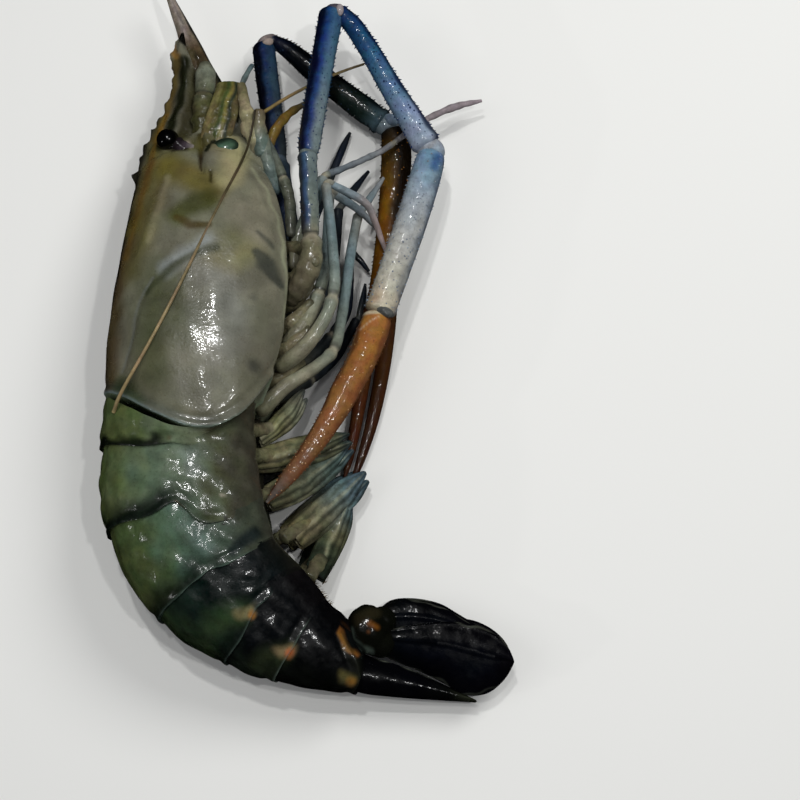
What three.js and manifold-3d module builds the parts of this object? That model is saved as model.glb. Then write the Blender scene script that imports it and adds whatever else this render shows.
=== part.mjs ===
// A raw giant river prawn, lying on its left side with its right side up.
// Millimetres, +Z up, the head towards +Y and the tail towards -Y and +X.
// Shell, claws and legs are separate solids that meet with a small joint gap.

import * as THREE from "three";
import { mergeVertices } from "three/addons/utils/BufferGeometryUtils.js";
import Module from "manifold-3d";

const wasm = await Module();
wasm.setup();

// Driving dimensions
const jointGap = 0.8;            // free space between two shell pieces, along the back
const midHeight = 21;            // height of the carapace's middle plane above the table
const rostrumThickness = 2.4;    // the toothed blade between the eyes
const rostrumTeeth = 12;
const toothHeight = 2;
const eyeSpread = 7.6;           // from the middle plane to the middle of each eye
const corneaRadius = 3.3;
const whipRadius = 0.55;         // the long bare feeler of each antenna
const whipClearance = 0.35;      // between the right whip and the shell that it lies on
const whipLowest = 31;           // the right whip's height where nothing lies under it
const troughDepth = 0.13;        // between a shell's two lower edges, as a share of its depth

// Shell stations from the front to the rear: plan places of the back and the belly edge, how far
// the rim between them bows rearwards at a third and at two thirds of the way down the flank,
// then half the thickness and the height of the middle plane.
const carapaceStations = [
  { back: [-50.2, 47.6], belly: [-18.5, 52.5], bow: [-1.2, -1.6], half: 8.5, lift: midHeight },
  { back: [-51.4, 40], belly: [-10.5, 41.5], bow: [0, 0], half: 14.4, lift: midHeight },
  { back: [-53.8, 24], belly: [-6.4, 25.5], bow: [0, 0], half: 19.6, lift: midHeight - 0.3 },
  { back: [-56, 7], belly: [-5.2, 9], bow: [2, 1.5], half: 21.2, lift: midHeight - 0.6 },
  { back: [-57.2, -8], belly: [-7.6, -7], bow: [5.6, 6.4], half: 21.4, lift: midHeight - 0.6 },
  { back: [-57.4, -21.2], belly: [-12.6, -22.6], bow: [8.4, 11.2], half: 19.8, lift: midHeight - 1.2 },
];

// The rims of the tail segments: first the one that the carapace covers, then six rear rims.
const abdomenRims = [
  { back: [-57.2, -21.9], belly: [-13.8, -23.2], bow: [8.6, 11.4], half: 18, lift: 18.3 },
  { back: [-58.7, -36.4], belly: [-14.6, -28.6], bow: [5.6, 7.6], half: 18.6, lift: 18.1 },
  { back: [-55.2, -61.6], belly: [-10.4, -54.6], bow: [0.4, 3.8], half: 19, lift: 18.2 },
  { back: [-39.5, -85.4], belly: [-5.9, -63.6], bow: [-0.8, -0.4], half: 17.8, lift: 17.3 },
  { back: [-21.1, -96.5], belly: [2.3, -71.9], bow: [-0.4, -2.2], half: 15.4, lift: 15.2 },
  { back: [-7.8, -101.2], belly: [7.6, -79.4], bow: [0.2, -0.4], half: 13, lift: 12.9 },
  { back: [14.5, -104.6], belly: [11, -81.8], bow: [2.2, -0.6], half: 10.5, lift: 10.7 },
];

// Dorsal and lower edge of the rostrum in plan, from the carapace to the tip.
const rostrumBack = [[-53.6, 24], [-51.8, 38], [-50.4, 50], [-46.8, 60], [-42.8, 69], [-40.7, 78],
  [-41.1, 88]];
const rostrumBelly = [[-41, 94], [-38.6, 89], [-35.8, 82], [-34.6, 75], [-34.8, 67], [-36.2, 58],
  [-39, 38]];

const place = (values) => new THREE.Vector3(values[0], values[1], values[2] ?? 0);
const smooth = (value, low, high) => THREE.MathUtils.smoothstep(value, low, high);

// Turns a closed mesh right side out, so that its faces point away from the solid.
function outward(geometry) {
  const points = geometry.attributes.position;
  const [a, b, c] = [new THREE.Vector3(), new THREE.Vector3(), new THREE.Vector3()];
  const order = geometry.index.array;
  let volume = 0;
  for (let i = 0; i < order.length; i += 3) {
    a.fromBufferAttribute(points, order[i]);
    b.fromBufferAttribute(points, order[i + 1]);
    c.fromBufferAttribute(points, order[i + 2]);
    volume += a.dot(b.cross(c));
  }
  if (volume < 0) {
    for (let i = 0; i < order.length; i += 3) {
      [order[i + 1], order[i + 2]] = [order[i + 2], order[i + 1]];
    }
  }
  geometry.computeVertexNormals();
  return geometry;
}

// A closed skin: a capped cylinder whose vertices go where the rule puts them, by how far along,
// at which angle round the section and how far out from its middle each one lies.
function skin(sides, steps, rule) {
  const cylinder = new THREE.CylinderGeometry(1, 1, 1, sides, steps);
  cylinder.deleteAttribute("normal");
  cylinder.deleteAttribute("uv");
  const geometry = mergeVertices(cylinder, 1e-4);
  const points = geometry.attributes.position;
  for (let i = 0; i < points.count; i += 1) {
    const [x, y, z] = [points.getX(i), points.getY(i), points.getZ(i)];
    const spot = rule(0.5 - y, Math.atan2(x, z), Math.min(1, Math.hypot(x, z)));
    points.setXYZ(i, spot.x, spot.y, spot.z);
  }
  return outward(geometry);
}

// Stations joined by smooth lines: the shell's back and belly edge, the bow of its rim, its half
// thickness and its middle height, at any share of the way from the first station to the last.
function shellLines(stations) {
  const line = (pick) => new THREE.CatmullRomCurve3(stations.map((station) => place(pick(station))));
  const back = line((station) => [...station.back, station.half]);
  const belly = line((station) => [...station.belly, station.lift]);
  const bow = line((station) => station.bow);
  return (t) => {
    const [b, v, w] = [back.getPoint(t), belly.getPoint(t), bow.getPoint(t)];
    const rear = new THREE.Vector3(v.y - b.y, b.x - v.x, 0).normalize();
    return { back: b, belly: v, bow: w, rear, half: b.z, lift: v.z };
  };
}

// A point of a shell section. The angle runs from the back, over the upper flank, to the belly,
// where the flanks end in two edges with a shallow trough between them.
function sectionPoint(ring, angle, scale) {
  const turn = Math.abs(angle) / Math.PI;
  const swing = Math.cos(angle);
  const trough = smooth(turn, 0.84, 1) * troughDepth;
  const down = (1 - Math.sign(swing) * Math.abs(swing) ** (swing > 0 ? 0.95 : 0.72)) / 2 - trough;
  const share = 0.5 + (down - 0.5) * scale;
  const bulge = Math.sign(angle) * Math.abs(Math.sin(angle)) ** (turn < 0.5 ? 0.9 : 0.72);
  const bow = 9 * ring.bow.x - 4.5 * ring.bow.y + 13.5 * (ring.bow.y - ring.bow.x) * share;
  const spot = ring.back.clone().lerp(ring.belly, share);
  spot.addScaledVector(ring.rear, bow * share * (1 - share));
  spot.z = Math.max(0, ring.lift + ring.half * scale * bulge);
  return spot;
}

// A stretch of shell between two shares of the stations' lines. The rear rim stands a little
// proud of the front, which slips under the piece before it.
function shellPiece(ringAt, from, to, { sides = 28, steps = 6, front = 0.95, lobe = 0 } = {}) {
  return skin(sides, steps, (t, angle, reach) => {
    const ring = ringAt(from + (to - from) * t);
    const flank = smooth(Math.abs(angle) / Math.PI, 0.55, 0.85);
    const edge = 1 - lobe * flank * (2 * t - 1) ** 2;
    const scale = THREE.MathUtils.lerp(front, 1, smooth(t, 0, 0.45)) * edge;
    const rim = sectionPoint(ring, angle, scale);
    const middle = sectionPoint(ring, Math.PI / 2, 0).setZ(ring.lift);
    return middle.lerp(rim, reach);
  });
}

// A limb: an oval section carried along a smooth line through stops of
// x, y, z, half width in plan and half depth. Its two ends are blunt.
function limb(stops, { sides = 8, steps = 8, blunt = 0.6 } = {}) {
  const line = new THREE.CatmullRomCurve3(stops.map(place));
  const girth = new THREE.CatmullRomCurve3(stops.map((s) => place([s[3], s[4] ?? s[3]])));
  const length = line.getLength();
  const up = new THREE.Vector3(0, 0, 1);
  return skin(sides, steps, (t, angle, reach) => {
    const eased = t - 0.1 * Math.sin(2 * Math.PI * t);
    const spot = line.getPoint(eased);
    const size = girth.getPoint(eased);
    const across = line.getTangent(eased).cross(up).normalize();
    const over = across.clone().cross(line.getTangent(eased)).normalize();
    const fromEnd = Math.min(eased, 1 - eased) * length / size.x;
    const end = Math.sqrt(0.3 + 0.7 * Math.min(1, fromEnd / blunt));
    spot.addScaledVector(across, Math.cos(angle) * size.x * end * reach);
    spot.addScaledVector(over, Math.sin(angle) * size.y * end * reach);
    return spot;
  });
}

// A leaf: a limb that is wide and thin, cupped by the given height across its width.
function leaf(stops, { thickness = 1, cup = 0.6, sides = 10, steps = 8 } = {}) {
  const line = new THREE.CatmullRomCurve3(stops.map(place));
  const width = new THREE.CatmullRomCurve3(stops.map((s) => place([s[3], s[4] ?? 0])));
  const up = new THREE.Vector3(0, 0, 1);
  return skin(sides, steps, (t, angle, reach) => {
    const spot = line.getPoint(t);
    const size = width.getPoint(t);
    const across = line.getTangent(t).cross(up).normalize();
    const out = Math.cos(angle) * reach;
    spot.addScaledVector(across, out * size.x);
    spot.z += out * size.y + cup * (1 - out * out) + Math.sin(angle) * reach * thickness / 2;
    return spot;
  });
}

// A rounded lump at a centre, with its three half sizes.
function lump(centre, half, sides = 10) {
  const sphere = new THREE.SphereGeometry(1, sides, Math.round(sides * 0.6));
  sphere.scale(...half);
  sphere.translate(...centre);
  sphere.deleteAttribute("normal");
  sphere.deleteAttribute("uv");
  return outward(mergeVertices(sphere, 1e-4));
}

// Joins closed geometries that overlap into one solid.
function join(...geometries) {
  const solids = geometries.map((geometry) => {
    const vertProperties = new Float32Array(geometry.attributes.position.array);
    const triVerts = new Uint32Array(geometry.index.array);
    return new wasm.Manifold(new wasm.Mesh({ numProp: 3, vertProperties, triVerts }));
  });
  const mesh = solids.reduce((sum, solid) => sum.add(solid)).simplify(0.02).getMesh();
  const geometry = new THREE.BufferGeometry();
  geometry.setAttribute("position", new THREE.BufferAttribute(mesh.vertProperties, 3));
  geometry.setIndex(new THREE.BufferAttribute(mesh.triVerts, 1));
  geometry.computeVertexNormals();
  return geometry;
}

// The rostrum: a thin upright blade, toothed along its back, lying flat in plan.
function rostrumBlade() {
  const back = new THREE.SplineCurve(rostrumBack.map((p) => new THREE.Vector2(...p)));
  const belly = new THREE.SplineCurve(rostrumBelly.map((p) => new THREE.Vector2(...p)));
  const outline = new THREE.Shape();
  outline.moveTo(...rostrumBack[0]);
  for (let tooth = 0; tooth < rostrumTeeth; tooth += 1) {
    const root = back.getPoint((tooth + 0.1) / rostrumTeeth);
    const tipAt = (tooth + 0.8) / rostrumTeeth;
    const tip = back.getPoint(tipAt);
    const tangent = back.getTangent(tipAt);
    tip.add(new THREE.Vector2(-tangent.y, tangent.x).multiplyScalar(toothHeight));
    outline.lineTo(root.x, root.y);
    outline.lineTo(tip.x, tip.y);
  }
  belly.getPoints(14).forEach((p) => outline.lineTo(p.x, p.y));
  const blade = new THREE.ExtrudeGeometry(outline, { depth: rostrumThickness, bevelEnabled: false });
  blade.translate(0, 0, midHeight - rostrumThickness / 2);
  blade.deleteAttribute("normal");
  blade.deleteAttribute("uv");
  return outward(mergeVertices(blade, 1e-4));
}

// The highest point of some meshes' upper surfaces within a short reach of a plan point.
function heightOver(meshes, x, y, reach) {
  const spots = [[0, 0], [-reach, 0], [reach, 0], [0, -reach], [0, reach]];
  const heights = spots.flatMap(([dx, dy]) => {
    const above = new THREE.Vector3(x + dx, y + dy, 100);
    const ray = new THREE.Raycaster(above, new THREE.Vector3(0, 0, -1));
    return ray.intersectObjects(meshes, false).map((hit) => hit.point.z);
  });
  return Math.max(0, ...heights);
}

const finishes = {
  shell: { color: 0x6f7263, roughness: 0.28 },
  tailShell: { color: 0x2f3b33, roughness: 0.25 },
  fan: { color: 0x12141c, roughness: 0.22 },
  blueClaw: { color: 0x3f5a86, roughness: 0.35 },
  paleClaw: { color: 0xa9b3bd, roughness: 0.4 },
  brownFinger: { color: 0x8a4f2a, roughness: 0.6 },
  leg: { color: 0x6d7680, roughness: 0.35 },
  swimmeret: { color: 0x4b5350, roughness: 0.35 },
  whisker: { color: 0xa08a66, roughness: 0.5 },
  eye: { color: 0x0c0a0e, roughness: 0.12 },
  feeler: { color: 0x77745e, roughness: 0.35 },
};

const prawn = new THREE.Group();

function add(name, geometry, finish) {
  const material = new THREE.MeshStandardMaterial({ metalness: 0, ...finishes[finish] });
  const mesh = new THREE.Mesh(geometry, material);
  mesh.name = name;
  prawn.add(mesh);
  return mesh;
}

// Carapace with its rostrum and the rib that stiffens the blade.
const carapaceRing = shellLines(carapaceStations);
const dome = shellPiece(carapaceRing, 0, 1, { sides: 28, steps: 17, front: 1 });
const rib = limb([
  [-44, 36, midHeight, 9, 8], [-43, 50, midHeight, 6.6, 4.4], [-40, 64, midHeight, 3.6, 3],
  [-37.8, 78, midHeight, 1.8, 1.9], [-39.6, 88, midHeight, 1, 1.3],
], { steps: 10 });
add("carapace", join(dome, rostrumBlade(), rib), "shell");

// Six tail segments. Each starts a joint gap behind the rim of the one before.
const abdomenRing = shellLines(abdomenRims);
const segmentCount = abdomenRims.length - 1;
for (let segment = 0; segment < segmentCount; segment += 1) {
  const [from, to] = [segment / segmentCount, (segment + 1) / segmentCount];
  const backLength = abdomenRing(from).back.distanceTo(abdomenRing(to).back);
  const gapShare = jointGap / backLength / segmentCount;
  const piece = shellPiece(abdomenRing, from + gapShare, to, { lobe: 0.03, front: 0.94 });
  add(`abdomen_${segment + 1}`, piece, segment < 3 ? "shell" : "tailShell");
}

// Tail fan: the telson in the middle, and on each side a rounded base with two blades.
add("telson", limb([
  [15.6, -99.8, 12.4, 4.8, 4.4], [22, -100.4, 12.6, 4.5, 4.2], [34, -102.5, 12.6, 3.2, 3],
  [45, -105, 12.4, 1.6, 1.7], [50, -106, 12.2, 0.5, 0.7],
], { steps: 8 }), "fan");
const tailSides = [
  { side: "right", base: [18.8, -88.2, 15], half: [5.8, 7.6, 6.4], outer: 11.4, inner: 10.6,
    tilt: -2.6, shift: 0, cup: 1 },
  { side: "left", base: [18.8, -86.4, 4.2], half: [5.6, 7.2, 3.9], outer: 2.4, inner: 5.2,
    tilt: 0.6, shift: 4.5, cup: 0.3 },
];
for (const { side, base, half, outer, inner, tilt, shift, cup } of tailSides) {
  const outerBlade = leaf([
    [20.5, -89.4 + shift, outer, 3.6, 0], [30, -91.8 + shift, outer, 6.5, tilt],
    [38, -93.2 + shift, outer, 7.9, tilt], [46, -95 + shift, outer - 0.2, 9.4, tilt],
    [50.5, -95.9 + shift, outer - 0.4, 9.4, tilt], [54.5, -96 + shift, outer - 0.6, 6.6, tilt],
    [59.4, -96.4 + shift, outer - 1, 1.8, 0],
  ], { thickness: 1.5, cup, steps: 12 });
  const aside = shift * 0.6;
  const innerBlade = leaf([
    [25.4, -82 + aside, inner, 2.2], [32, -82.2 + aside, inner, 3.8],
    [42, -84 + aside, inner, 4], [50, -86.6 + aside, inner - 0.6, 1.4],
  ], { thickness: 1.3, cup: 0.3 });
  add(`uropod_${side}_outer`, join(lump(base, half), outerBlade), "fan");
  add(`uropod_${side}_inner`, innerBlade, "fan");
}

// Eyes on their stalks, one each side of the rostrum.
for (const [side, sign] of [["right", 1], ["left", -1]]) {
  const height = midHeight + sign * eyeSpread;
  const cornea = lump([-41, 55.4, height], [corneaRadius, corneaRadius, corneaRadius]);
  const stalk = limb([
    [-38.5, 54.8, height, 2.5], [-35.6, 53.8, height - sign * 2.2, 2],
  ], { steps: 3 });
  add(`eye_${side}`, join(cornea, stalk), "eye");
}

// Antennules, antennal scales, and the bases of the antennae.
add("antennule_right", limb([
  [-31.8, 53.4, 22.6, 2.6, 2.1], [-31.6, 61, 23, 2.5, 1.9], [-31.2, 69, 23.2, 2.1, 1.8],
  [-31.2, 76, 23.2, 2.3, 1.8], [-31.8, 80, 23, 1.2],
]), "feeler");
add("antennule_left", limb([
  [-31, 53.4, 17.4, 2.4], [-31, 62, 16.4, 2.3], [-30.6, 70, 16, 1.9], [-30, 76, 16, 1],
], { steps: 6 }), "feeler");
add("antennal_scale_right", leaf([
  [-25, 54.4, 26.8, 2.2, 0], [-25.2, 60, 27.4, 4.2, 0.6], [-25, 68, 27.6, 4.8, 0.8],
  [-24.8, 75, 27.2, 4.5, 0.6], [-24.6, 76.6, 26.8, 3.4, 0.4],
], { thickness: 1.2, cup: 1.4 }), "feeler");
add("antennal_scale_left", leaf([
  [-27.6, 72, 12.8, 2.2], [-30.6, 80, 13.4, 3.1], [-35, 92, 14, 2.6], [-41, 105, 14.4, 1.5],
  [-46.6, 115, 14.6, 0.5],
], { thickness: 1.2, cup: 0.8 }), "feeler");
add("antenna_base_left", limb([
  [-20, 54, 15.4, 3], [-19, 60, 15.4, 2.8], [-17.4, 65.4, 16.6, 1.8],
], { steps: 5 }), "feeler");
add("antenna_base_right", limb([
  [-20.4, 54, 26.4, 3.4, 3], [-17.6, 58, 28, 3.3, 2.8], [-15.6, 62, 29.2, 2.4],
  [-14.6, 65, 29.8, 1.5],
], { steps: 6 }), "feeler");

// The right whip bends back over the carapace and lies on it. Its last stretch spans the step
// down from the carapace to the tail, so it looks for the shell's top in a wider reach there.
const whipPlan = [
  [-15.2, 62.6], [-17, 52], [-19.6, 43], [-25, 28], [-31.5, 11], [-38, -4], [-44, -15],
  [-50, -25], [-52.6, -29],
];
const whipLine = new THREE.SplineCurve(whipPlan.map((p) => new THREE.Vector2(...p)));
const whipSteps = 22;
const whipBed = prawn.children.filter(
  (mesh) => ["carapace", "abdomen_1", "antenna_base_right"].includes(mesh.name));
const whipStops = whipLine.getPoints(whipSteps).map((p, index) => {
  const shell = heightOver(whipBed, p.x, p.y, index < whipSteps - 3 ? 1.2 : 3.2);
  return [p.x, p.y, Math.max(whipLowest, shell + whipRadius + whipClearance), whipRadius];
});
const whipForm = { sides: 5, blunt: 1 };
add("antenna_whip_right", limb(whipStops, { ...whipForm, steps: whipSteps - 1 }), "whisker");
add("antenna_whip_left", limb([
  [-16.4, 67.4, 17.8, whipRadius], [-12, 70.6, 17.6, whipRadius], [-6, 75, 17, 0.5],
  [3, 81, 15, 0.45], [12, 86, 13, 0.4], [18.5, 88.8, 12, 0.35],
], { ...whipForm, steps: 10 }), "whisker");

// Limbs lie in layers: the right ones on top, the left ones near the table.
const limbs = {
  mouth_leg_right: { finish: "feeler", stops: [
    [-4.6, 28, 24.2, 2], [-5.4, 39, 24.6, 2], [-9, 49, 24.4, 1.9], [-12.6, 57.6, 23.4, 1.4],
  ] },
  mouth_leg_left: { finish: "feeler", stops: [
    [-4.6, 28, 9, 1.9], [-6, 39, 8.4, 1.9], [-9.6, 49, 8.4, 1.7], [-13.6, 58, 9, 1.2],
  ] },

  claw_right_ischium: { finish: "paleClaw", stops: [
    [-4.4, 6.6, 25.4, 3.4], [-0.6, 11.4, 28, 4], [2, 19, 30, 3.9], [1.6, 23.5, 30.6, 3.1],
    [1, 36, 30.4, 3], [0.2, 49.8, 29.4, 3.3],
  ] },
  claw_right_merus: { finish: "blueClaw", stops: [
    [0.4, 51, 29.2, 3.3], [1.8, 64, 27.8, 3.4], [4, 82, 25, 3.5], [6.2, 98.4, 22.8, 3.7],
  ] },
  claw_right_carpus: { finish: "blueClaw", stops: [
    [9.8, 100.6, 22.4, 2], [13, 95.8, 22.3, 2.5], [17.4, 88.6, 21.8, 2.8], [25.6, 74, 20.6, 3.4],
    [35.6, 57, 19.2, 4.5],
  ] },
  claw_left_ischium: { finish: "blueClaw", stops: [
    [-3.8, 8, 15.4, 3.2], [-3.4, 16, 15, 3.4], [-5.4, 30, 14.8, 3.1], [-7.6, 42, 14, 3.1],
    [-9.6, 54, 13, 3.2],
  ] },
  claw_left_merus: { finish: "blueClaw", stops: [
    [-10, 56, 12.8, 3.1], [-11.6, 68, 12, 3.3], [-13.6, 82, 11, 3.5], [-15.2, 94.4, 10.2, 3.5],
  ] },
  claw_left_carpus: { finish: "blueClaw", stops: [
    [-12.2, 97, 10, 2.1], [-7, 93.8, 9.2, 2.8], [-1, 88.8, 8.4, 3.4], [10, 80.2, 6.8, 3.8],
    [22, 71, 5.8, 4.2],
  ] },

  leg1_right_upper: { finish: "leg", stops: [
    [-4, 18.6, 21.4, 1.8], [-2, 29, 22.2, 2], [2, 38, 22, 1.7], [4.4, 46, 20.8, 1.6],
  ] },
  leg1_right_lower: { finish: "leg", stops: [
    [5.6, 47.6, 20.4, 1.4], [14, 53, 16.6, 1.2], [24, 60, 12.8, 1.1], [34, 68.6, 11.8, 1.1],
    [44.5, 74.8, 9.6, 1.4], [52, 77.4, 8, 0.6],
  ] },
  leg1_left_upper: { finish: "leg", stops: [
    [-4, 22, 7, 1.9], [-1.6, 31, 6, 1.8], [2.6, 45, 4.4, 1.5],
  ] },
  leg1_left_lower: { finish: "leg", stops: [
    [3.4, 47, 4.2, 1.3], [6.6, 56, 3.2, 1.2], [9.6, 64.6, 2.2, 1.1], [11.4, 69, 1.8, 0.5],
  ] },
  leg3_right_upper: { finish: "leg", stops: [
    [-5, -5.6, 22.6, 2.4], [-0.6, -0.4, 23.4, 2.4], [4, 10, 23, 1.9], [6, 27, 21.6, 1.6],
    [6.2, 41, 20.2, 1.5],
  ] },
  leg3_right_lower: { finish: "leg", stops: [
    [7.6, 41.8, 19.4, 1.3], [14.4, 38.6, 16, 1.2], [19.4, 34.6, 12.8, 0.7],
  ] },
  leg3_left_upper: { finish: "leg", stops: [
    [-4.6, -2.6, 11.4, 2.2], [2.2, 6.6, 8.4, 1.9], [7, 24, 6.2, 1.6], [8.4, 42, 5.4, 1.5],
  ] },
  leg3_left_lower: { finish: "leg", stops: [
    [9.4, 44, 5, 1.3], [13.6, 50.4, 3.8, 1.1], [17.2, 55.6, 3, 0.5],
  ] },
  leg4_right_upper: { finish: "leg", stops: [
    [-6.8, -13, 24.4, 2.5], [-0.6, -8.6, 26.2, 2.3], [4.8, -1.4, 27.4, 1.9], [8.2, 7.6, 27.6, 1.7],
    [7.4, 26, 27, 1.5], [5.6, 41.6, 26.2, 1.4],
  ] },
  leg4_right_lower: { finish: "leg", stops: [
    [7, 42.4, 25.8, 1.2], [16.6, 38.2, 22.4, 1.2], [18.4, 36.4, 21, 1.1], [21.2, 30.8, 14.6, 0.9],
    [23.6, 25, 11.9, 0.4],
  ] },
  leg4_left_upper: { finish: "leg", stops: [
    [-5.6, -12, 12.4, 2.2], [2, -4.6, 8.8, 1.9], [10.6, 8, 5.6, 1.6], [12, 27, 4.8, 1.4],
  ] },
  leg4_left_lower: { finish: "leg", stops: [
    [13.2, 28.6, 4.2, 1.1], [15.4, 26.4, 3.4, 0.9], [17.4, 24, 2.8, 0.5],
  ] },
  leg5_right_upper: { finish: "leg", stops: [
    [-12.2, -25.6, 22.4, 2.4], [-6, -19, 22.8, 2.2], [1.4, -13.6, 21.6, 1.9], [8, -6.4, 18.6, 1.7],
    [10.8, 10, 15.6, 1.6], [12.8, 26.5, 13.6, 1.5], [14.6, 37.4, 12.6, 1.4],
  ] },
  leg5_right_lower: { finish: "leg", stops: [
    [15.6, 39.2, 12.4, 1.3], [18.6, 44, 12.2, 1.1], [22, 49.6, 12, 0.5],
  ] },
  leg5_left_upper: { finish: "leg", stops: [
    [-10.6, -20, 11.4, 2.1], [-1, -13.4, 8, 1.8], [7.4, -5, 4, 1.5], [14, 7.6, 2.4, 1.3],
  ] },
  leg5_left_lower: { finish: "leg", stops: [
    [15, 9.6, 2.2, 1.1], [16, 14.8, 2, 0.9], [16.6, 19, 1.8, 0.4],
  ] },
};
for (const [name, { finish, stops }] of Object.entries(limbs)) {
  const sides = name.startsWith("claw") ? 10 : 6;
  add(name, limb(stops, { sides, steps: stops.length * 2 }), finish);
}

// The hands: a palm drawn out into a fixed finger, and a second finger hinged beside it.
const hands = {
  right: {
    palmFinish: "paleClaw",
    palm: [
      [36.8, 54.8, 19, 4.1], [35.2, 48.6, 19, 4.5], [30.6, 33, 18.8, 4.6], [26, 19, 18.8, 4.6],
      [22.6, 8.8, 18.9, 4.4],
    ],
    fixed: [
      [24, 12, 18, 2.8, 2.6], [22.2, 5, 17.4, 3, 2.4], [15.6, -10.6, 17.8, 3, 2.3],
      [7, -26, 18.4, 2.6, 2.1], [-1.4, -39.2, 19.4, 1.7, 1.5], [-6.2, -46.4, 20.2, 0.8],
    ],
    finger: [
      [20, 6.8, 22, 3.8, 2.6], [16.6, -3, 23, 4.1, 2.6], [9.6, -16.6, 23.6, 4, 2.4],
      [0.6, -31.6, 23.6, 3.2, 2], [-6.4, -43.6, 22.8, 2, 1.4], [-10, -50, 22, 0.8],
    ],
  },
  left: {
    palmFinish: "brownFinger",
    palm: [
      [24.8, 68.6, 5.6, 3.8], [26, 64.6, 4.9, 4.5], [25.4, 46, 4.6, 4.5], [23.6, 27, 4.6, 4.4],
      [21.8, 12.6, 4.6, 4.4],
    ],
    fixed: [
      [24, 16, 4.4, 2.4], [23.8, 9, 4.4, 2.5], [22.2, -7, 4.3, 2.3], [19, -24, 3.8, 1.9],
      [15.2, -37, 3.2, 1.2], [13.4, -41.6, 3, 0.6],
    ],
    finger: [
      [18.6, 9.6, 5, 2.5, 3.2], [18, 2, 4.9, 2.5, 3.1], [16.2, -12, 4.4, 2.2, 2.7],
      [14, -26, 3.8, 1.8, 2.2], [12, -36.6, 3.2, 1.2, 1.5], [11, -41, 2.8, 0.5, 0.7],
    ],
  },
};
for (const [side, { palmFinish, palm, fixed, finger }] of Object.entries(hands)) {
  const hand = limb(palm, { sides: 10, steps: 8, blunt: 0.4 });
  add(`claw_${side}_palm`, join(hand, limb(fixed, { sides: 8, steps: 9 })), palmFinish);
  add(`claw_${side}_finger`, limb(finger, { sides: 10, steps: 9 }), "brownFinger");
}

// Swimmerets: five pairs under the tail. Each has a short stalk and two blades side by side.
const swimmerets = [
  { root: [-13, -33, 23], knee: [-8.2, -27.4, 18.6], width: 1.5,
    tips: [[-1.6, -17.4, 12.6], [2.2, -20.6, 10.4]] },
  { root: [-12, -43, 22], knee: [-3.6, -39.6, 17], width: 2.3,
    tips: [[9.4, -29.4, 13], [12.6, -32.4, 11.4]] },
  { root: [-10.2, -54.6, 21], knee: [-4, -50, 13.6], width: 2.2,
    tips: [[8.4, -38.6, 8.8], [11.4, -42.6, 7.6]] },
  { root: [-5.6, -65.4, 20.6], knee: [1, -60.4, 15.4], width: 2.1,
    tips: [[12.6, -43.2, 9.8], [16.8, -41, 8.4]] },
  { root: [2.2, -74, 18], knee: [5.4, -68, 12.4], width: 1.9,
    tips: [[12.4, -51.6, 7.8], [15.4, -48.6, 6.4]] },
];

// The left ones lie folded flat between the body and the table, and reach less far.
const swimmeretSides = [
  { side: "right", fall: (z) => z, reach: 1 },
  { side: "left", fall: (z) => Math.max(1.4, z * 0.62 - 5.2), reach: 0.76 },
];

// Half widths of a blade at shares of its length.
const bladeShape = [[-0.14, 0.5], [0.2, 0.8], [0.6, 1], [0.88, 0.7], [1, 0.25]];
for (const { side, fall, reach } of swimmeretSides) {
  swimmerets.forEach(({ root, knee, tips, width }, index) => {
    const [hip, bend, ...ends] = [root, knee, ...tips].map(([x, y, z]) => place([x, y, fall(z)]));
    const stalk = limb([
      [...hip.toArray(), 2.2, 1.8], [...bend.toArray(), 2.3, 1.2],
    ], { sides: 6, steps: 3 });
    const blades = ends.map((end) => leaf(bladeShape.map(([share, half]) => (
      [...bend.clone().lerp(end, share * reach).toArray(), half * width]
    )), { thickness: 0.9, cup: 0.3, sides: 6, steps: 5 }));
    add(`swimmeret_${side}_${index + 1}`, join(stalk, ...blades), "swimmeret");
  });
}

// Centre the prawn in plan with its lowest point at height zero.
const bounds = new THREE.Box3().setFromObject(prawn);
const middle = bounds.getCenter(new THREE.Vector3());
prawn.children.forEach((mesh) => mesh.geometry.translate(-middle.x, -middle.y, -bounds.min.z));

export default prawn;
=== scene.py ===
# A raw giant river prawn on a pale table, lying on its left side with its right side up.
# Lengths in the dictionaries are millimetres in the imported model's own frame: the head towards
# +Y, the belly and the legs towards +X, the table at Z 0. Plan places are (x, y).
import math

import bpy
import numpy as np
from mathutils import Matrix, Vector
from mathutils.kdtree import KDTree


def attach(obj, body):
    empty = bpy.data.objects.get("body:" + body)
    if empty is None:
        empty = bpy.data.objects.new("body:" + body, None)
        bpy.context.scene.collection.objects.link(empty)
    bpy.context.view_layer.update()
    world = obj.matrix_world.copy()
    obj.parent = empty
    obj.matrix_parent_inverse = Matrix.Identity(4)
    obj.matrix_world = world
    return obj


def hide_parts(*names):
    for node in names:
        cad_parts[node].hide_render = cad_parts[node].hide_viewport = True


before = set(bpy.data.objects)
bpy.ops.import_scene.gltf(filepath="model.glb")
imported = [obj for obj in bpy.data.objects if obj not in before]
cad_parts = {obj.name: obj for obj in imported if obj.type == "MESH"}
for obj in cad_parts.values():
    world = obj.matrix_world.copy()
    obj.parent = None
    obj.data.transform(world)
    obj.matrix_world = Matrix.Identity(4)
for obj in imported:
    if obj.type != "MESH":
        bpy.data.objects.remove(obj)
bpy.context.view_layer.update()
mm = 0.001
tau = 2 * math.pi
tableGap = 0.05  # how near to the table the lowest limbs and blades come


# Colours and shader nodes

def linear(code):
    channels = [int(code[i:i + 2], 16) / 255 for i in (1, 3, 5)]
    return np.array([c / 12.92 if c <= 0.04045 else ((c + 0.055) / 1.055) ** 2.4 for c in channels])


def rgba(code):
    return (*linear(code), 1.0)


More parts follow.
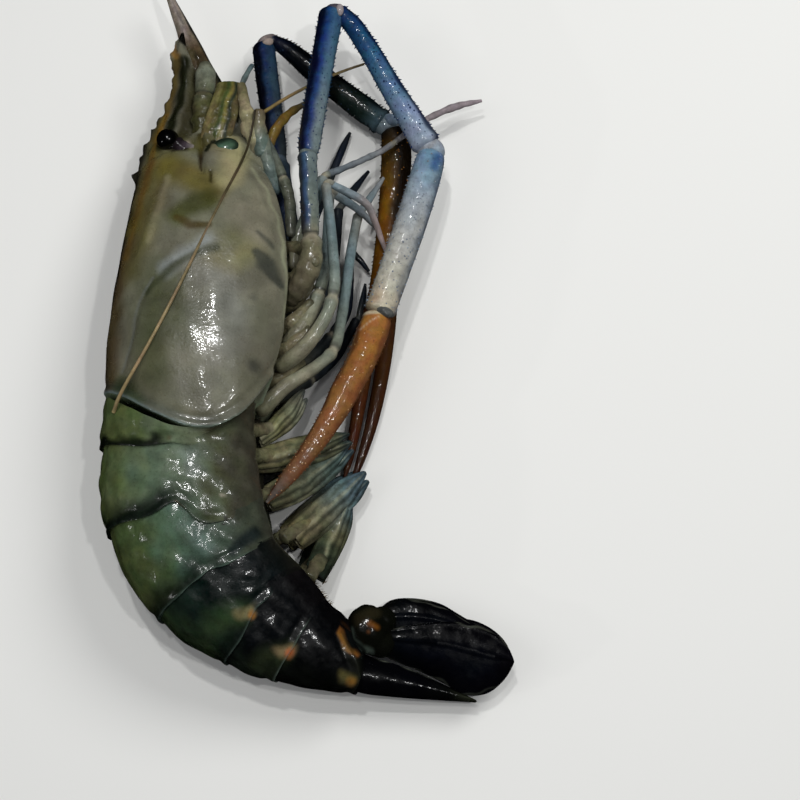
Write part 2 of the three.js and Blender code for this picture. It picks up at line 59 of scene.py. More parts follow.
def addNode(tree, kind, settings=None, links=None):
    node = tree.nodes.new("ShaderNode" + kind)
    for key, value in (settings or {}).items():
        if isinstance(key, int) or key in node.inputs:
            node.inputs[key].default_value = value
        else:
            setattr(node, key, value)
    for key, source in (links or {}).items():
        tree.links.new(source, node.inputs[key])
    return node


def per(size):
    return 1 / (size * mm)  # a texture scale whose pattern repeats about every size millimetres


def newMaterial(name):
    material = bpy.data.materials.new(name)
    material.use_nodes = True
    tree = material.node_tree
    tree.nodes.clear()
    surface = addNode(tree, "BsdfPrincipled")
    output = addNode(tree, "OutputMaterial")
    tree.links.new(surface.outputs[0], output.inputs["Surface"])
    return material, tree, surface


def ramped(tree, source, low, high, toLow, toHigh):
    settings = {"interpolation_type": "SMOOTHSTEP", "From Min": low, "From Max": high,
                "To Min": toLow, "To Max": toHigh}
    return addNode(tree, "MapRange", settings, {"Value": source}).outputs["Result"]


# Wet crustacean shell: chitin over flesh under a film of water. The flesh gives the soft milky
# body, the film gives the hard glints, and the fine pits break those glints into sparkles.
def wetShell(name, look):
    material, tree, surface = newMaterial(name)
    place = addNode(tree, "TexCoord").outputs["Object"]
    tint = addNode(tree, "Attribute", {"attribute_name": "tint"}).outputs["Color"]

    def noise(size, detail=2.0):
        settings = {"Scale": per(size), "Detail": detail, "Roughness": 0.55}
        return addNode(tree, "TexNoise", settings, {"Vector": place}).outputs["Fac"]

    depth = look["cloudDepth"]
    value = ramped(tree, noise(look["cloud"], 4), 0.3, 0.7, 1 - depth, 1 + depth)
    warmth = ramped(tree, noise(look["cloud"] * 1.7), 0.3, 0.7, 0.5 - depth / 14, 0.5 + depth / 14)
    body = addNode(tree, "HueSaturation", {}, {"Color": tint, "Value": value, "Hue": warmth})
    specks = ramped(tree, noise(look["speck"]), 0.56, 0.7, 0, look["speckDepth"])
    color = addNode(tree, "Mix", {"data_type": "RGBA", "blend_type": "MULTIPLY",
                                  7: rgba(look["speckColor"])},
                    {0: specks, 6: body.outputs["Color"]}).outputs[2]
    tree.links.new(color, surface.inputs["Base Color"])

    normal = None
    for size, rise, detail in look["relief"]:
        links = {"Height": noise(size, detail)}
        if normal:
            links["Normal"] = normal
        settings = {"Strength": 1.0, "Distance": rise * mm}
        normal = addNode(tree, "Bump", settings, links).outputs["Normal"]
    tree.links.new(normal, surface.inputs["Normal"])
    tree.links.new(normal, surface.inputs["Coat Normal"])
    rough = look["roughness"]
    gloss = ramped(tree, noise(look["cloud"] * 0.4), 0.35, 0.65, rough * 0.75, rough * 1.25)
    tree.links.new(gloss, surface.inputs["Roughness"])
    settings = {"IOR": look["shellIor"], "Specular IOR Level": look["shine"],
                "Coat Weight": look["film"], "Coat Roughness": look["filmRoughness"],
                "Coat IOR": look["waterIor"], "Subsurface Weight": look["flesh"],
                "Subsurface Radius": look["fleshReach"],
                "Subsurface Scale": look["fleshDepth"] * mm}
    for key, value in settings.items():
        surface.inputs[key].default_value = value
    return material


# What the finishes share. Cloud and speck are the sizes of the mottling, relief the size, rise
# and detail of each layer of bumps, film the water on top and flesh how milky the body is.
shellLook = {
    "cloud": 7, "cloudDepth": 0.1, "speck": 0.7, "speckDepth": 0.3, "speckColor": "#8a8470",
    "relief": [(9, 0.4, 1), (1.3, 0.05, 3)], "roughness": 0.42, "shine": 0.25, "shellIor": 1.45,
    "film": 0.8, "filmRoughness": 0.1, "waterIor": 1.33,
    "flesh": 0.06, "fleshReach": (1.0, 0.85, 0.7), "fleshDepth": 1.2,
}


def lookOf(**changes):
    return {**shellLook, **changes}


finishes = {
    "headShell": wetShell("wet_translucent_head_shell", lookOf(
        cloud=8, cloudDepth=0.2, speck=0.5, relief=[(8, 0.15, 1), (1.4, 0.05, 2), (0.7, 0.02, 2)],
        roughness=0.34, shine=0.4, flesh=0.12, filmRoughness=0.08)),
    "tailShell": wetShell("wet_green_tail_shell", lookOf(
        cloud=4, cloudDepth=0.24, relief=[(4.6, 0.45, 1), (1.5, 0.07, 2), (0.7, 0.03, 2)],
        filmRoughness=0.13)),
    "fan": wetShell("wet_black_tail_fan", lookOf(
        cloud=6, cloudDepth=0.2, flesh=0.0, relief=[(5, 0.4, 1), (0.9, 0.05, 2)],
        roughness=0.3, shine=0.08, film=0.4)),
    "claw": wetShell("wet_blue_claw_shell", lookOf(
        cloud=2.4, cloudDepth=0.2, relief=[(2.4, 0.22, 2), (1.2, 0.09, 2)], flesh=0.0, film=1.0)),
    "finger": wetShell("velvety_brown_finger", lookOf(
        cloud=2.2, cloudDepth=0.14, speck=0.6, speckDepth=0.3, speckColor="#8a6038",
        relief=[(3, 0.35, 2), (1.3, 0.13, 2)], roughness=0.5, film=1.0, filmRoughness=0.08,
        flesh=0.0)),
    "leg": wetShell("wet_thin_leg_shell", lookOf(
        cloud=3, cloudDepth=0.2, relief=[(2.2, 0.3, 2), (1.2, 0.1, 2)], film=1.0)),
    "blade": wetShell("wet_swimmeret_blade", lookOf(
        cloud=2.6, cloudDepth=0.34, relief=[(2, 0.3, 2), (0.6, 0.05, 2)])),
    "feeler": wetShell("wet_olive_feeler", lookOf(
        cloud=2.4, cloudDepth=0.3, relief=[(2.0, 0.4, 2), (1.2, 0.1, 2)], film=1.0)),
    "whisker": wetShell("ringed_horn_whisker", lookOf(
        cloud=4, cloudDepth=0.2, flesh=0.0, relief=[(0.8, 0.1, 2)], film=0.3, filmRoughness=0.2)),
    "eye": wetShell("wet_black_eye", lookOf(
        cloud=2, cloudDepth=0.15, flesh=0.0, relief=[(0.5, 0.01, 1)], roughness=0.2,
        film=0.45, filmRoughness=0.13)),
    "skin": wetShell("wet_joint_skin", lookOf(
        cloud=1.4, cloudDepth=0.22, relief=[(1.5, 0.4, 2), (1.1, 0.1, 2)], flesh=0.15, film=1.0,
        filmRoughness=0.08)),
    "bristle": wetShell("amber_bristle", lookOf(
        cloud=4, cloudDepth=0.1, flesh=0.0, relief=[(2, 0.05, 1)], film=0.1)),
}


# Mesh helpers

def deselect():
    if bpy.context.object and bpy.context.object.mode != "OBJECT":
        bpy.ops.object.mode_set(mode="OBJECT")
    bpy.ops.object.select_all(action="DESELECT")


def activate(piece):
    deselect()
    piece.select_set(True)
    bpy.context.view_layer.objects.active = piece
    return piece


def closeMesh(piece):
    activate(piece)
    bpy.ops.object.mode_set(mode="EDIT")
    bpy.ops.mesh.select_all(action="SELECT")
    bpy.ops.mesh.remove_doubles(threshold=0.003 * mm)
    bpy.ops.mesh.normals_make_consistent(inside=False)
    bpy.ops.object.mode_set(mode="OBJECT")


def applyModifier(piece, kind, **settings):
    activate(piece)
    modifier = piece.modifiers.new(kind.lower(), kind)
    for key, value in settings.items():
        setattr(modifier, key, value)
    bpy.ops.object.modifier_apply(modifier=modifier.name)


def pointsOf(piece):
    points = np.zeros(len(piece.data.vertices) * 3)
    piece.data.vertices.foreach_get("co", points)
    return points.reshape(-1, 3) / mm


def setPoints(piece, points):
    piece.data.vertices.foreach_set("co", (points * mm).ravel())
    piece.data.update()


def normalsOf(piece):
    normals = np.zeros(len(piece.data.vertices) * 3)
    piece.data.vertices.foreach_get("normal", normals)
    return normals.reshape(-1, 3)


def keepValues(piece, name, values):
    piece.data.attributes.new(name, "FLOAT", "POINT").data.foreach_set("value", values)


def valuesOf(piece, name):
    values = np.zeros(len(piece.data.vertices))
    piece.data.attributes[name].data.foreach_get("value", values)
    return values


def fuse(piece, voxel, passes):
    applyModifier(piece, "REMESH", mode="VOXEL", voxel_size=voxel * mm, adaptivity=0.0)
    applyModifier(piece, "SMOOTH", factor=0.5, iterations=passes)


def joinPieces(pieces, name):
    activate(pieces[0])
    for piece in pieces[1:]:
        piece.select_set(True)
    if len(pieces) > 1:
        bpy.ops.object.join()
    pieces[0].name = pieces[0].data.name = name
    return pieces[0]


def smoothstep(value, low, high):
    share = np.clip((value - low) / (high - low), 0, 1)
    return share * share * (3 - 2 * share)


def bump(gap, wide):
    return np.exp(-(gap / wide) ** 2)  # 1 in the middle, next to nothing at twice the width


def unit(rows):
    return rows / np.linalg.norm(rows, axis=1)[:, None]


def readTable(place, places, rows):
    return np.stack([np.interp(place, places, column) for column in rows.T], axis=-1)


def plainTint(code, count):
    return np.tile(linear(code), (count, 1))


# A slow wandering value for each point, about -1 to 1, that changes over the given size.
def drift(points, size, seed):
    draw = np.random.RandomState(seed)
    total = np.zeros(len(points))
    for _ in range(6):
        way = draw.normal(size=3)
        wave = tau / size * (0.6 + 0.8 * draw.rand())
        total += np.sin(points @ (way / np.linalg.norm(way)) * wave + draw.rand() * tau)
    return total / 2.6


# A smooth line through stops, as a function of the share of the way from the first to the last.
def splineThrough(stops):
    stops = np.array(stops, float)
    knots = np.vstack([2 * stops[0] - stops[1], stops, 2 * stops[-1] - stops[-2]])
    gaps = np.maximum(np.linalg.norm(np.diff(knots, axis=0), axis=1), 1e-6) ** 0.5
    count = len(stops) - 1

    def at(share):
        place = np.clip(share, 0, 1) * count
        index = np.minimum(place.astype(int), count - 1)
        w = (place - index)[:, None]
        a, b, c, d = (knots[index + k] for k in range(4))
        before, here, after = (gaps[index + k][:, None] for k in range(3))
        slopeIn = ((b - a) / before - (c - a) / (before + here)) * here + c - b
        slopeOut = ((d - c) / after - (d - b) / (here + after)) * here + c - b
        return ((2 * w ** 3 - 3 * w ** 2 + 1) * b + (w ** 3 - 2 * w ** 2 + w) * slopeIn
                + (3 * w ** 2 - 2 * w ** 3) * c + (w ** 3 - w ** 2) * slopeOut)
    return at


# A grid rolled up into a closed skin: the rule gives each corner its place from how far along
# it is and how far round. The steps crowd towards the ends, whose corners all meet.
def rollSkin(name, rule, steps, sides, crowd=0.0):
    deselect()
    bpy.ops.mesh.primitive_grid_add(x_subdivisions=steps, y_subdivisions=sides, size=1,
                                    calc_uvs=False)
    piece = bpy.context.object
    piece.name = piece.data.name = name
    flat = pointsOf(piece) * mm + 0.5
    along, turn = np.clip(flat[:, 0], 0, 1), flat[:, 1] * tau
    along = along - crowd * np.sin(tau * along)
    setPoints(piece, rule(along, turn))
    keepValues(piece, "along", along)
    keepValues(piece, "across", np.cos(turn))
    closeMesh(piece)
    return piece


# A smooth lump: a ball stretched to its half sizes, turned about the upright and set in place.
def makeLump(middle, half, turn=0.0, segments=32):
    deselect()
    bpy.ops.mesh.primitive_uv_sphere_add(segments=segments, ring_count=segments * 5 // 8, radius=1)
    lump = bpy.context.object
    ball = pointsOf(lump) * mm * half
    c, s = math.cos(math.radians(turn)), math.sin(math.radians(turn))
    x, y = ball[:, 0] * c - ball[:, 1] * s, ball[:, 0] * s + ball[:, 1] * c
    setPoints(lump, np.column_stack([x, y, ball[:, 2]]) + np.array(middle, float))
    keepValues(lump, "along", np.full(len(ball), 0.5))
    keepValues(lump, "across", ball[:, 0] / half[0])
    return lump


# How far each plan place is from a route, in half widths: 0 on the route, 1 at its edge.
def offRoute(plan, route, wide):
    route = np.array(route, float).reshape(-1, 2)
    widths = np.broadcast_to(np.array(wide, float), len(route))
    if len(route) == 1:
        return np.linalg.norm(plan - route[0], axis=1) / widths[0]
    ratio = np.full(len(plan), 1e9)
    for a, b, wa, wb in zip(route[:-1], route[1:], widths[:-1], widths[1:]):
        along = np.clip((plan - a) @ (b - a) / ((b - a) @ (b - a)), 0, 1)
        gap = np.linalg.norm(plan - a - along[:, None] * (b - a), axis=1)
        ratio = np.minimum(ratio, gap / (wa + along * (wb - wa)))
    return ratio


# Distance of each point from a line of points.
def distanceTo(points, line):
    tree = KDTree(len(line))
    for index, point in enumerate(line):
        tree.insert(point, index)
    tree.balance()
    return np.array([tree.find(point)[2] for point in points])


def emboss(points, normals, features):
    for route, wide, rise in features:
        ratio = offRoute(points[:, :2], route, wide)
        points = points + normals * (rise * bump(ratio, 1))[:, None]
    return points


def blend(tint, cover, code):
    return tint + np.asarray(cover)[:, None] * (linear(code) - tint)


# Brush strokes over a base tint. Each stroke has a colour, a route, a half width, how much of
# that width fades out and how strongly it covers.
def brush(points, tint, strokes, wander=0.4, seed=1):
    plan = points[:, :2].copy()
    plan[:, 0] += wander * drift(points, 9, seed)
    plan[:, 1] += wander * drift(points, 9, seed + 50)
    for color, route, wide, soft, mix in strokes:
        cover = 1 - smoothstep(offRoute(plan, route, wide), 1 - soft, 1)
        tint = blend(tint, cover * mix, color)
    return tint


def ramp(share, stops):
    places, codes = zip(*stops)
    return readTable(share, places, np.array([linear(code) for code in codes]))


def evenRamp(share, codes):
    return ramp(share, list(zip(np.linspace(0, 1, len(codes)), codes)))


def finish(piece, nodes, material, tint, angle=50):
    mesh = piece.data
    for name in ("along", "across"):
        if name in mesh.attributes:
            mesh.attributes.remove(mesh.attributes[name])
    layer = mesh.attributes.new("tint", "FLOAT_COLOR", "POINT")
    layer.data.foreach_set("color", np.hstack([tint, np.ones((len(tint), 1))]).ravel())
    activate(piece)
    mesh.materials.clear()
    mesh.materials.append(finishes[material])
    bpy.ops.object.shade_smooth_by_angle(angle=math.radians(angle))
    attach(piece, "root")
    if nodes:
        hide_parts(*nodes)
    return piece


# Paint of a limb: colours from its inner to its outer end, stripes along it and plan strokes.
# Each stripe has a colour, its place across the limb (-1 and 1 are the two edges in plan), a half
# width, how much of that fades out, how strongly it covers and, if not all of it, its stretch.
def limbTint(piece, plan):
    points = pointsOf(piece)
    along, across = valuesOf(piece, "along"), valuesOf(piece, "across")
    tint = evenRamp(along + 0.03 * drift(points, 6, 7), plan["tints"])
    edge = across + 0.1 * drift(points, 8, 11)
    for color, at, wide, soft, mix, *span in plan.get("stripes", []):
        cover = 1 - smoothstep(np.abs(edge - at) / wide, 1 - soft, 1)
        low, high = span or (-0.2, 1.2)
        cover = cover * smoothstep(along, low - 0.06, low + 0.06)
        cover = cover * (1 - smoothstep(along, high - 0.06, high + 0.06))
        tint = blend(tint, cover * mix, color)
    for at in plan.get("form", {}).get("joints", []):  # a pale ring with a dark line after it
        tint = blend(tint, bump(along - at, 0.02) * 0.7, plan.get("ring", "#938c78"))
        tint = blend(tint, bump(along - at - 0.022, 0.008) * 0.8, "#14181a")
    return brush(points, tint, plan.get("strokes", []), 0.3, 13)


# Many copies of one small shape, joined into one mesh: each has a spot, the way it points,
# a size and a colour.
def scatter(name, shape, spots, ways, sizes, tints, material):
    corners, faces = shape
    ways = unit(ways)
    side = unit(np.cross(ways, (0.3, 0.2, 0.9)))  # square to each hair or spine
    other = np.cross(ways, side)
    scaled = corners[None] * sizes[:, None, None]
    points = (spots[:, None] + scaled[..., 0:1] * side[:, None] + scaled[..., 1:2] * other[:, None]
              + scaled[..., 2:3] * ways[:, None]).reshape(-1, 3)
    points[:, 2] = np.maximum(points[:, 2], 0.02)
    steps = np.arange(len(spots)) * len(corners)
    polygons = [[corner + int(step) for corner in face] for step in steps for face in faces]
    mesh = bpy.data.meshes.new(name)
    mesh.from_pydata((points * mm).tolist(), [], polygons)
    piece = bpy.data.objects.new(name, mesh)
    bpy.context.scene.collection.objects.link(piece)
    return finish(piece, [], material, np.repeat(tints, len(corners), axis=0), 60)


def takeShape(piece):
    shape = pointsOf(piece) * mm, [list(face.vertices) for face in piece.data.polygons]
    bpy.data.objects.remove(piece)
    return shape


deselect()
bpy.ops.mesh.primitive_cone_add(vertices=6, radius1=0.55, radius2=0.08, depth=1.3,
                                location=(0, 0, 0))
spineShape = takeShape(bpy.context.object)
deselect()
bpy.ops.mesh.primitive_uv_sphere_add(segments=8, ring_count=5, radius=1)
grainShape = takeShape(bpy.context.object)


# Shell pieces

# Stations of a shell: the back and the belly edge in plan, how far the rim between them bows
# rearwards at a third and at two thirds of the way down, how far it runs forward at the hinge,
# half the thickness, and the height of the middle plane.
def shellLines(stations):
    back = splineThrough([(*s["back"], s["half"]) for s in stations])
    belly = splineThrough([(*s["belly"], s["lift"]) for s in stations])
    bow = splineThrough([(*s["bow"], s.get("hinge", 0)) for s in stations])

    def at(share):
        b, v, w = back(share), belly(share), bow(share)
        rear = unit(np.stack([v[:, 1] - b[:, 1], b[:, 0] - v[:, 0]], axis=1))
        return {"back": b[:, :2], "belly": v[:, :2], "bow": w, "rear": rear, "half": b[:, 2],
                "lift": v[:, 2]}
    return at


# Points of a shell section. The angle runs from the back over the upper flank to the belly,
# where the flanks end in two edges with a shallow trough between them.
def sectionPoints(ring, angle, scale):
    turn = np.abs(angle) / math.pi
    swing = np.cos(angle)
    trough = smoothstep(turn, 0.84, 1) * 0.13
    down = (1 - np.sign(swing) * np.abs(swing) ** np.where(swing > 0, 0.95, 0.72)) / 2 - trough
    reach = np.where(down > 0.5, 1.1, 1)  # brings the two belly edges out to the full width
    share = 0.5 + (down - 0.5) * reach * scale
    bulge = np.sign(angle) * np.abs(np.sin(angle)) ** np.where(turn < 0.5, 0.9, 0.72)
    first, second, hinge = ring["bow"].T
    bow = 9 * first - 4.5 * second + 13.5 * (second - first) * share
    lead = hinge * bump(share - 0.5, np.where(share < 0.5, 0.14, 0.075))
    plan = ring["back"] + (ring["belly"] - ring["back"]) * share[:, None]
    plan = plan + ring["rear"] * (bow * share * (1 - share) - lead)[:, None]
    height = np.maximum(0, ring["lift"] + ring["half"] * scale * bulge)
    return np.column_stack([plan, height])


def signedAngle(turn):
    return np.where(turn > math.pi, turn - tau, turn)


# A shell skin: rings from the front to the rear, with both ends drawn in to the middle.
def shellRule(ringAt, shape, cap, bulge=0.0):
    def rule(share, turn):
        t = np.clip((share - cap) / (1 - 2 * cap), 0, 1)
        reach = np.clip(np.minimum(share, 1 - share) / cap, 0, 1)
        angle = signedAngle(turn)
        place, scale = shape(t, (1 - np.cos(angle)) / 2)
        ring = ringAt(place)
        rim = sectionPoints(ring, angle, scale)
        middle = sectionPoints(ring, np.full(len(t), math.pi / 2), np.zeros(len(t)))
        middle[:, 2] = ring["lift"]
        points = middle + (rim - middle) * reach[:, None]
        points[:, :2] += ring["rear"] * (bulge * (1 - reach ** 2) * (share > 0.5))[:, None]
        return points
    return rule


print("head shell")

headPlan = {
    "stations": [
        {"back": (-50.6, 43.3), "belly": (-18.9, 49.2), "bow": (-1.2, -1.6), "half": 9.5,
         "lift": 21},
        {"back": (-51.8, 35.7), "belly": (-10.9, 37.2), "bow": (0, 0), "half": 14.6, "lift": 21},
        {"back": (-54.2, 19.7), "belly": (-6.6, 21.2), "bow": (0, 0), "half": 19.7, "lift": 20.7},
        {"back": (-56.4, 2.7), "belly": (-5.4, 4.7), "bow": (2, 1.5), "half": 21.2, "lift": 20.4},
        {"back": (-57.6, -12.3), "belly": (-6.4, -10), "bow": (6, 8.4), "half": 21.4,
         "lift": 20.4},
        {"back": (-57.8, -25.5), "belly": (-9, -22.4), "bow": (10, 15.4), "half": 19.8,
         "lift": 19.8},
    ],
    "voxel": 0.46,
    # Cheeks, brows and the floor of the feelers: middle, half sizes.
    "lumps": [((-22.6, 46.6, 21), (9.4, 8.6, 8.6)), ((-40, 46, 21), (8.6, 10, 8.2)),
              ((-14.6, 45.4, 21), (4.6, 7, 6.4)), ((-31, 48, 21), (6.4, 11, 8)),
              ((-26.4, 59, 20), (9.6, 13, 5))],
    "frontSmooth": 14,   # passes that run the blade, the cheeks and the dome into one another
    # The toothed blade: its upper and lower edge in plan from the shell to the tip.
    "bladeBack": [(-55.2, 12), (-54, 22), (-52.2, 33.7), (-50.8, 45.7), (-47.2, 55.7),
                  (-43.2, 64.7), (-41.3, 73.7), (-42, 82.7), (-39, 89.9)],
    "bladeBelly": [(-48, 12), (-43.4, 22), (-39.4, 33.7), (-34.6, 45.7), (-33.8, 55.7),
                   (-33.6, 62.7), (-33.8, 70.7), (-35.4, 77.7), (-38, 84.7), (-39, 89.9)],
    "bladeHalf": 1.3,
    "ribHalf": [4, 6, 7, 6.4, 5, 3.8, 2.8, 2, 1.4, 0.6],
    "teeth": 17,
    "toothFrom": 0.34,   # share of the way to the tip where the teeth begin
    "toothHeight": 1.5,
    # Grooves and ridges: route, half width and rise.
    "relief": [
        ([(-31.9, 54), (-31.2, 45), (-30.3, 38.5)], 1, -1.1),
        ([(-27.8, 38.4), (-27.4, 34.4)], 0.7, -0.7),
        ([(-43.2, 2.9), (-46.2, -2.9), (-47.6, -10), (-48.6, -16), (-50.6, -22)], 1.1, -0.5),
        ([(-17, 40), (-13.3, 34), (-10, 26), (-7.8, 17), (-6.6, 6), (-6.8, -6)], 1, -0.35),
        ([(-40.4, 36.5), (-41, 30.4), (-42.1, 24.7), (-43.5, 19.7)], 1.3, 0.35),
        ([(-43.4, 30), (-44.6, 21), (-47, 12)], 1.2, 0.3),
    ],
    "base": "#646353",
    "rimShade": "#28342e",
    "rearWallPaintedLight": "#76866a",   # painted light: the rear-facing wall is painted lighter than the shell to lift the shade it lies in
    "rimEdge": "#75878c",
    "strokes": [
        ("#57502c", [(-42, 42), (-44, 30), (-47, 17), (-50, 8)], 7.5, 1, 0.85),
        ("#4a3b22", [(-50, 24), (-53.4, 12), (-55.4, -0.5), (-56.2, -14), (-56.2, -28)], 6.4, 0.8,
         0.88),
        ("#474b36", [(-34, -2), (-33, -14)], 8, 1, 0.6),
        ("#43472f", [(-40, 4), (-42, -12), (-42, -24)], 11, 1, 0.85),
        ("#6b6844", [(-30, 12), (-24, 12), (-19, 16)], 6, 1, 0.6),
        ("#70716a", [(-24, 6), (-20, -6), (-20, -16)], 9, 1, 0.6),
        ("#565446", [(-15, -18), (-16, -26)], 9, 1, 0.7),
        ("#5c5a4a", [(-30, -34), (-20, -33)], 6, 1, 0.5),
        ("#2f3a1a", [(-51, -26), (-46, -31)], 4.5, 0.9, 0.85),
        ("#74705f", [(-12, 30), (-14, 18), (-18, 24)], 8, 1, 0.85),
        ("#5a5022", [(-41, 41), (-34, 37), (-27, 32)], 7.5, 0.8, 0.85),
        ("#8a8360", [(-24, 50), (-21, 44), (-22.5, 36)], 6.4, 0.8, 0.85),
        ("#3e3f1a", [(-36, 23.4), (-31, 27), (-27.4, 28)], 5.6, 0.8, 0.85),
        ("#3c3014", [(-36.5, 22.4), (-32.4, 19.6), (-27, 19.4)], 1.6, 0.8, 0.85),
        ("#7f8482", [(-38.6, 6.4), (-33.4, 10.4), (-27.5, 14.4)], 4.4, 1, 0.9),
        ("#6e6a46", [(-25, 10), (-20, 8), (-15, 12)], 6, 1, 0.7),
        ("#363a26", [(-25, 12.6), (-32, 9.8), (-38.9, 5.2), (-43.7, 0.2)], 2.2, 0.9, 0.85),
        # Painted highlight along the crest of the ridge on the upper flank.
        ("#7c765c", [(-40.4, 36.5), (-41, 30.4), (-42.1, 24.7), (-44.5, 16)], 1.8, 1, 0.6),
        ("#5f625c", [(-42.6, 4), (-46.2, -2.9), (-47.6, -10), (-48.6, -16), (-50.8, -22)], 0.9, 1,
         0.6),
        ("#23180a", [(-31.9, 53), (-31.2, 45), (-30.3, 38.5)], (1.5, 1.3, 0.5), 0.8, 0.95),
        ("#2a240c", [(-27.8, 38.4), (-27.4, 34.4)], 0.8, 0.8, 0.85),
        ("#343731", [(-13.2, 12), (-10.8, 8.8), (-6.9, 3.4)], (2, 3.8, 1.8), 0.7, 0.85),
        ("#3c3e36", [(-13.3, 18.4), (-9.4, 14.2)], 1.3, 1, 0.8),
        ("#44463e", [(-13.7, -1.6)], 2, 1, 0.6),
        ("#33342f", [(-13.4, -21.2)], 2.8, 1, 0.7),
        ("#8a8c72", [(-16, 40), (-12.3, 34), (-9, 26), (-6.6, 17), (-5.2, 6), (-5.4, -6)], 0.9, 1,
         0.6),
        ("#574f28", [(-46, 50), (-48, 36), (-50, 22)], 5, 0.8, 0.9),
        ("#4c4a24", [(-40, 50), (-34, 49), (-30, 50)], 6, 1, 0.85),
        ("#60481e", [(-46, 44), (-47.4, 34), (-49.8, 21), (-51.4, 12)], (2.2, 2.4, 2.2, 1.6), 1,
         0.8),
        ("#4c3e18", [(-46, 54), (-43, 62), (-41.5, 70), (-40.8, 79)], 3, 0.8, 0.9),
        ("#0f1304", [(-38.4, 79), (-38, 71), (-39, 63), (-41, 57), (-44, 49)], 2.7, 0.8, 0.97),
        ("#28260e", [(-34.6, 76), (-34.8, 68), (-36, 60), (-37.4, 53)], 3, 0.8, 0.85),
        ("#0e0c06", [(-43.6, 78), (-43, 72), (-45, 64), (-48.8, 55.4), (-51.4, 46), (-52, 38),
                     (-54.2, 22), (-55.4, 10), (-59.4, -8)],
         (1.4, 2, 2.4, 3, 3.2, 3.4, 3.4, 2.8, 2.4), 0.8, 0.95),
        ("#6a4e1c", [(-43, 61), (-45, 54), (-46.6, 46)], 1.4, 0.8, 0.75),
        ("#7c5822", [(-42.2, 84), (-40.6, 81)], 1.6, 0.8, 0.8),
        ("#050505", [(-41, 89.4), (-38.6, 86.4)], 2, 0.5, 0.97),
        # Painted shadow under the right eye and its stalk.
        ("#171008", [(-43.5, 49.6), (-40, 47.2), (-36, 47)], 2, 0.8, 0.85),
        ("#8c8078", [(-35.4, 50.6), (-34.4, 48.2)], 1.2, 0.8, 0.8),
        ("#10140a", [(-29.6, 46.8), (-28.2, 50), (-25.7, 51), (-22.6, 50.6)], 0.9, 0.5, 0.95),
    ],
}


def makeHeadShell(plan):
    ringAt = shellLines(plan["stations"])
    dome = rollSkin("dome", shellRule(ringAt, lambda t, down: (t, np.ones(len(t))), 0.03), 130,
                    120)
    turn = np.linspace(0, tau, 400)
    rim = sectionPoints(ringAt(np.ones(400)), signedAngle(turn), np.ones(400))
    lumps = [makeLump(middle, half) for middle, half in plan["lumps"]]
    piece = joinPieces([dome, makeBlade(plan), *lumps], "head_shell")
    fuse(piece, plan["voxel"], 2)
    points = pointsOf(piece)
    # From the front of the dome to the feelers, without the teeth of the blade.
    front = (points[:, 1] > 34) & (points[:, 1] < 66) & (points[:, 0] > -46)
    piece.vertex_groups.new(name="front").add(np.flatnonzero(front).tolist(), 1, "REPLACE")
    applyModifier(piece, "SMOOTH", factor=0.5, iterations=plan["frontSmooth"],
                  vertex_group="front")
    piece.vertex_groups.clear()
    points, normals = pointsOf(piece), normalsOf(piece)
    edge = distanceTo(points, rim)
    points = emboss(points, normals, plan["relief"])
    lip = bump(edge - 0.5, 0.8) * 0.16
    trough = bump(edge - 2.6, 1.2) * 0.3
    side = np.abs(normals[:, 1]) < 0.8
    crumple = smoothstep(points[:, 1], 38, 50) * 0.22 * drift(points, 3.2, 5)
    points += normals * ((lip - trough) * side + 0.14 * drift(points, 11, 3) + crumple)[:, None]
    points[:, 2] = np.maximum(points[:, 2], 0)
    setPoints(piece, points)
    applyModifier(piece, "SMOOTH", factor=0.5, iterations=1)
    points = pointsOf(piece)
    tint = brush(points, plainTint(plan["base"], len(points)), plan["strokes"], 0.35, 4)
    fade = 1 - smoothstep(points[:, 0], -28, -12)  # the rim's colour is lost towards the belly
    tint = blend(tint, bump(edge - 1.8, 1.2) * 0.5 * fade, plan["rimShade"])
    # Painted light: the rear-facing wall by the step to the tail lies in shade and is painted
    # lighter.
    wallLightMask = smoothstep(-normalsOf(piece)[:, 1], 0.45, 0.75) * (points[:, 1] < -22)
    tint = blend(tint, wallLightMask * 0.8, plan["rearWallPaintedLight"])
    tint = blend(tint, bump(edge, 0.6) * (0.15 + 0.5 * fade), plan["rimEdge"])
    return finish(piece, ["carapace"], "headShell", tint)


def makeBlade(plan):
    back, belly = splineThrough(plan["bladeBack"]), splineThrough(plan["bladeBelly"])
    rib = splineThrough([(size, 0) for size in plan["ribHalf"]])

    def rule(share, turn):
        top, low = back(share), belly(share)  # the toothed and the smooth edge
        step = back(np.clip(share + 0.002, 0, 1)) - back(np.clip(share - 0.002, 0, 1))
        out = unit(np.column_stack([-step[:, 1], step[:, 0]]))
        phase = (share * plan["teeth"]) % 1
        saw = np.where(phase < 0.8, np.clip((phase - 0.1) / 0.7, 0, 1) ** 1.3, (1 - phase) / 0.2)
        down = (1 - np.cos(turn)) / 2
        saw = saw * smoothstep(share, plan["toothFrom"] - 0.1, plan["toothFrom"] + 0.02)
        upper = smoothstep(share, 0.5, 0.62)   # past the eye the teeth turn small and close
        saw = saw * (1 + 0.5 * np.sin(share * 61)) * (1 - 0.6 * upper)
        saw = saw + 0.3 * (share * 47 % 1) * upper
        edge = (1 - smoothstep(down, 0, 0.1)) * plan["toothHeight"] * saw
        spot = top + (low - top) * down[:, None] + out * edge[:, None]
        height = plan["bladeHalf"] + bump(down - 0.62, 0.36) * rib(share)[:, 0]
        height = height * np.abs(np.sin(turn)) ** 0.5 * smoothstep(1.02 - share, 0, 0.06)
        height = height * smoothstep(share, -0.02, 0.1)
        return np.column_stack([spot, 21 + np.sign(np.sin(turn)) * height])

    return rollSkin("blade", rule, 360, 56)


makeHeadShell(headPlan)

print("tail")

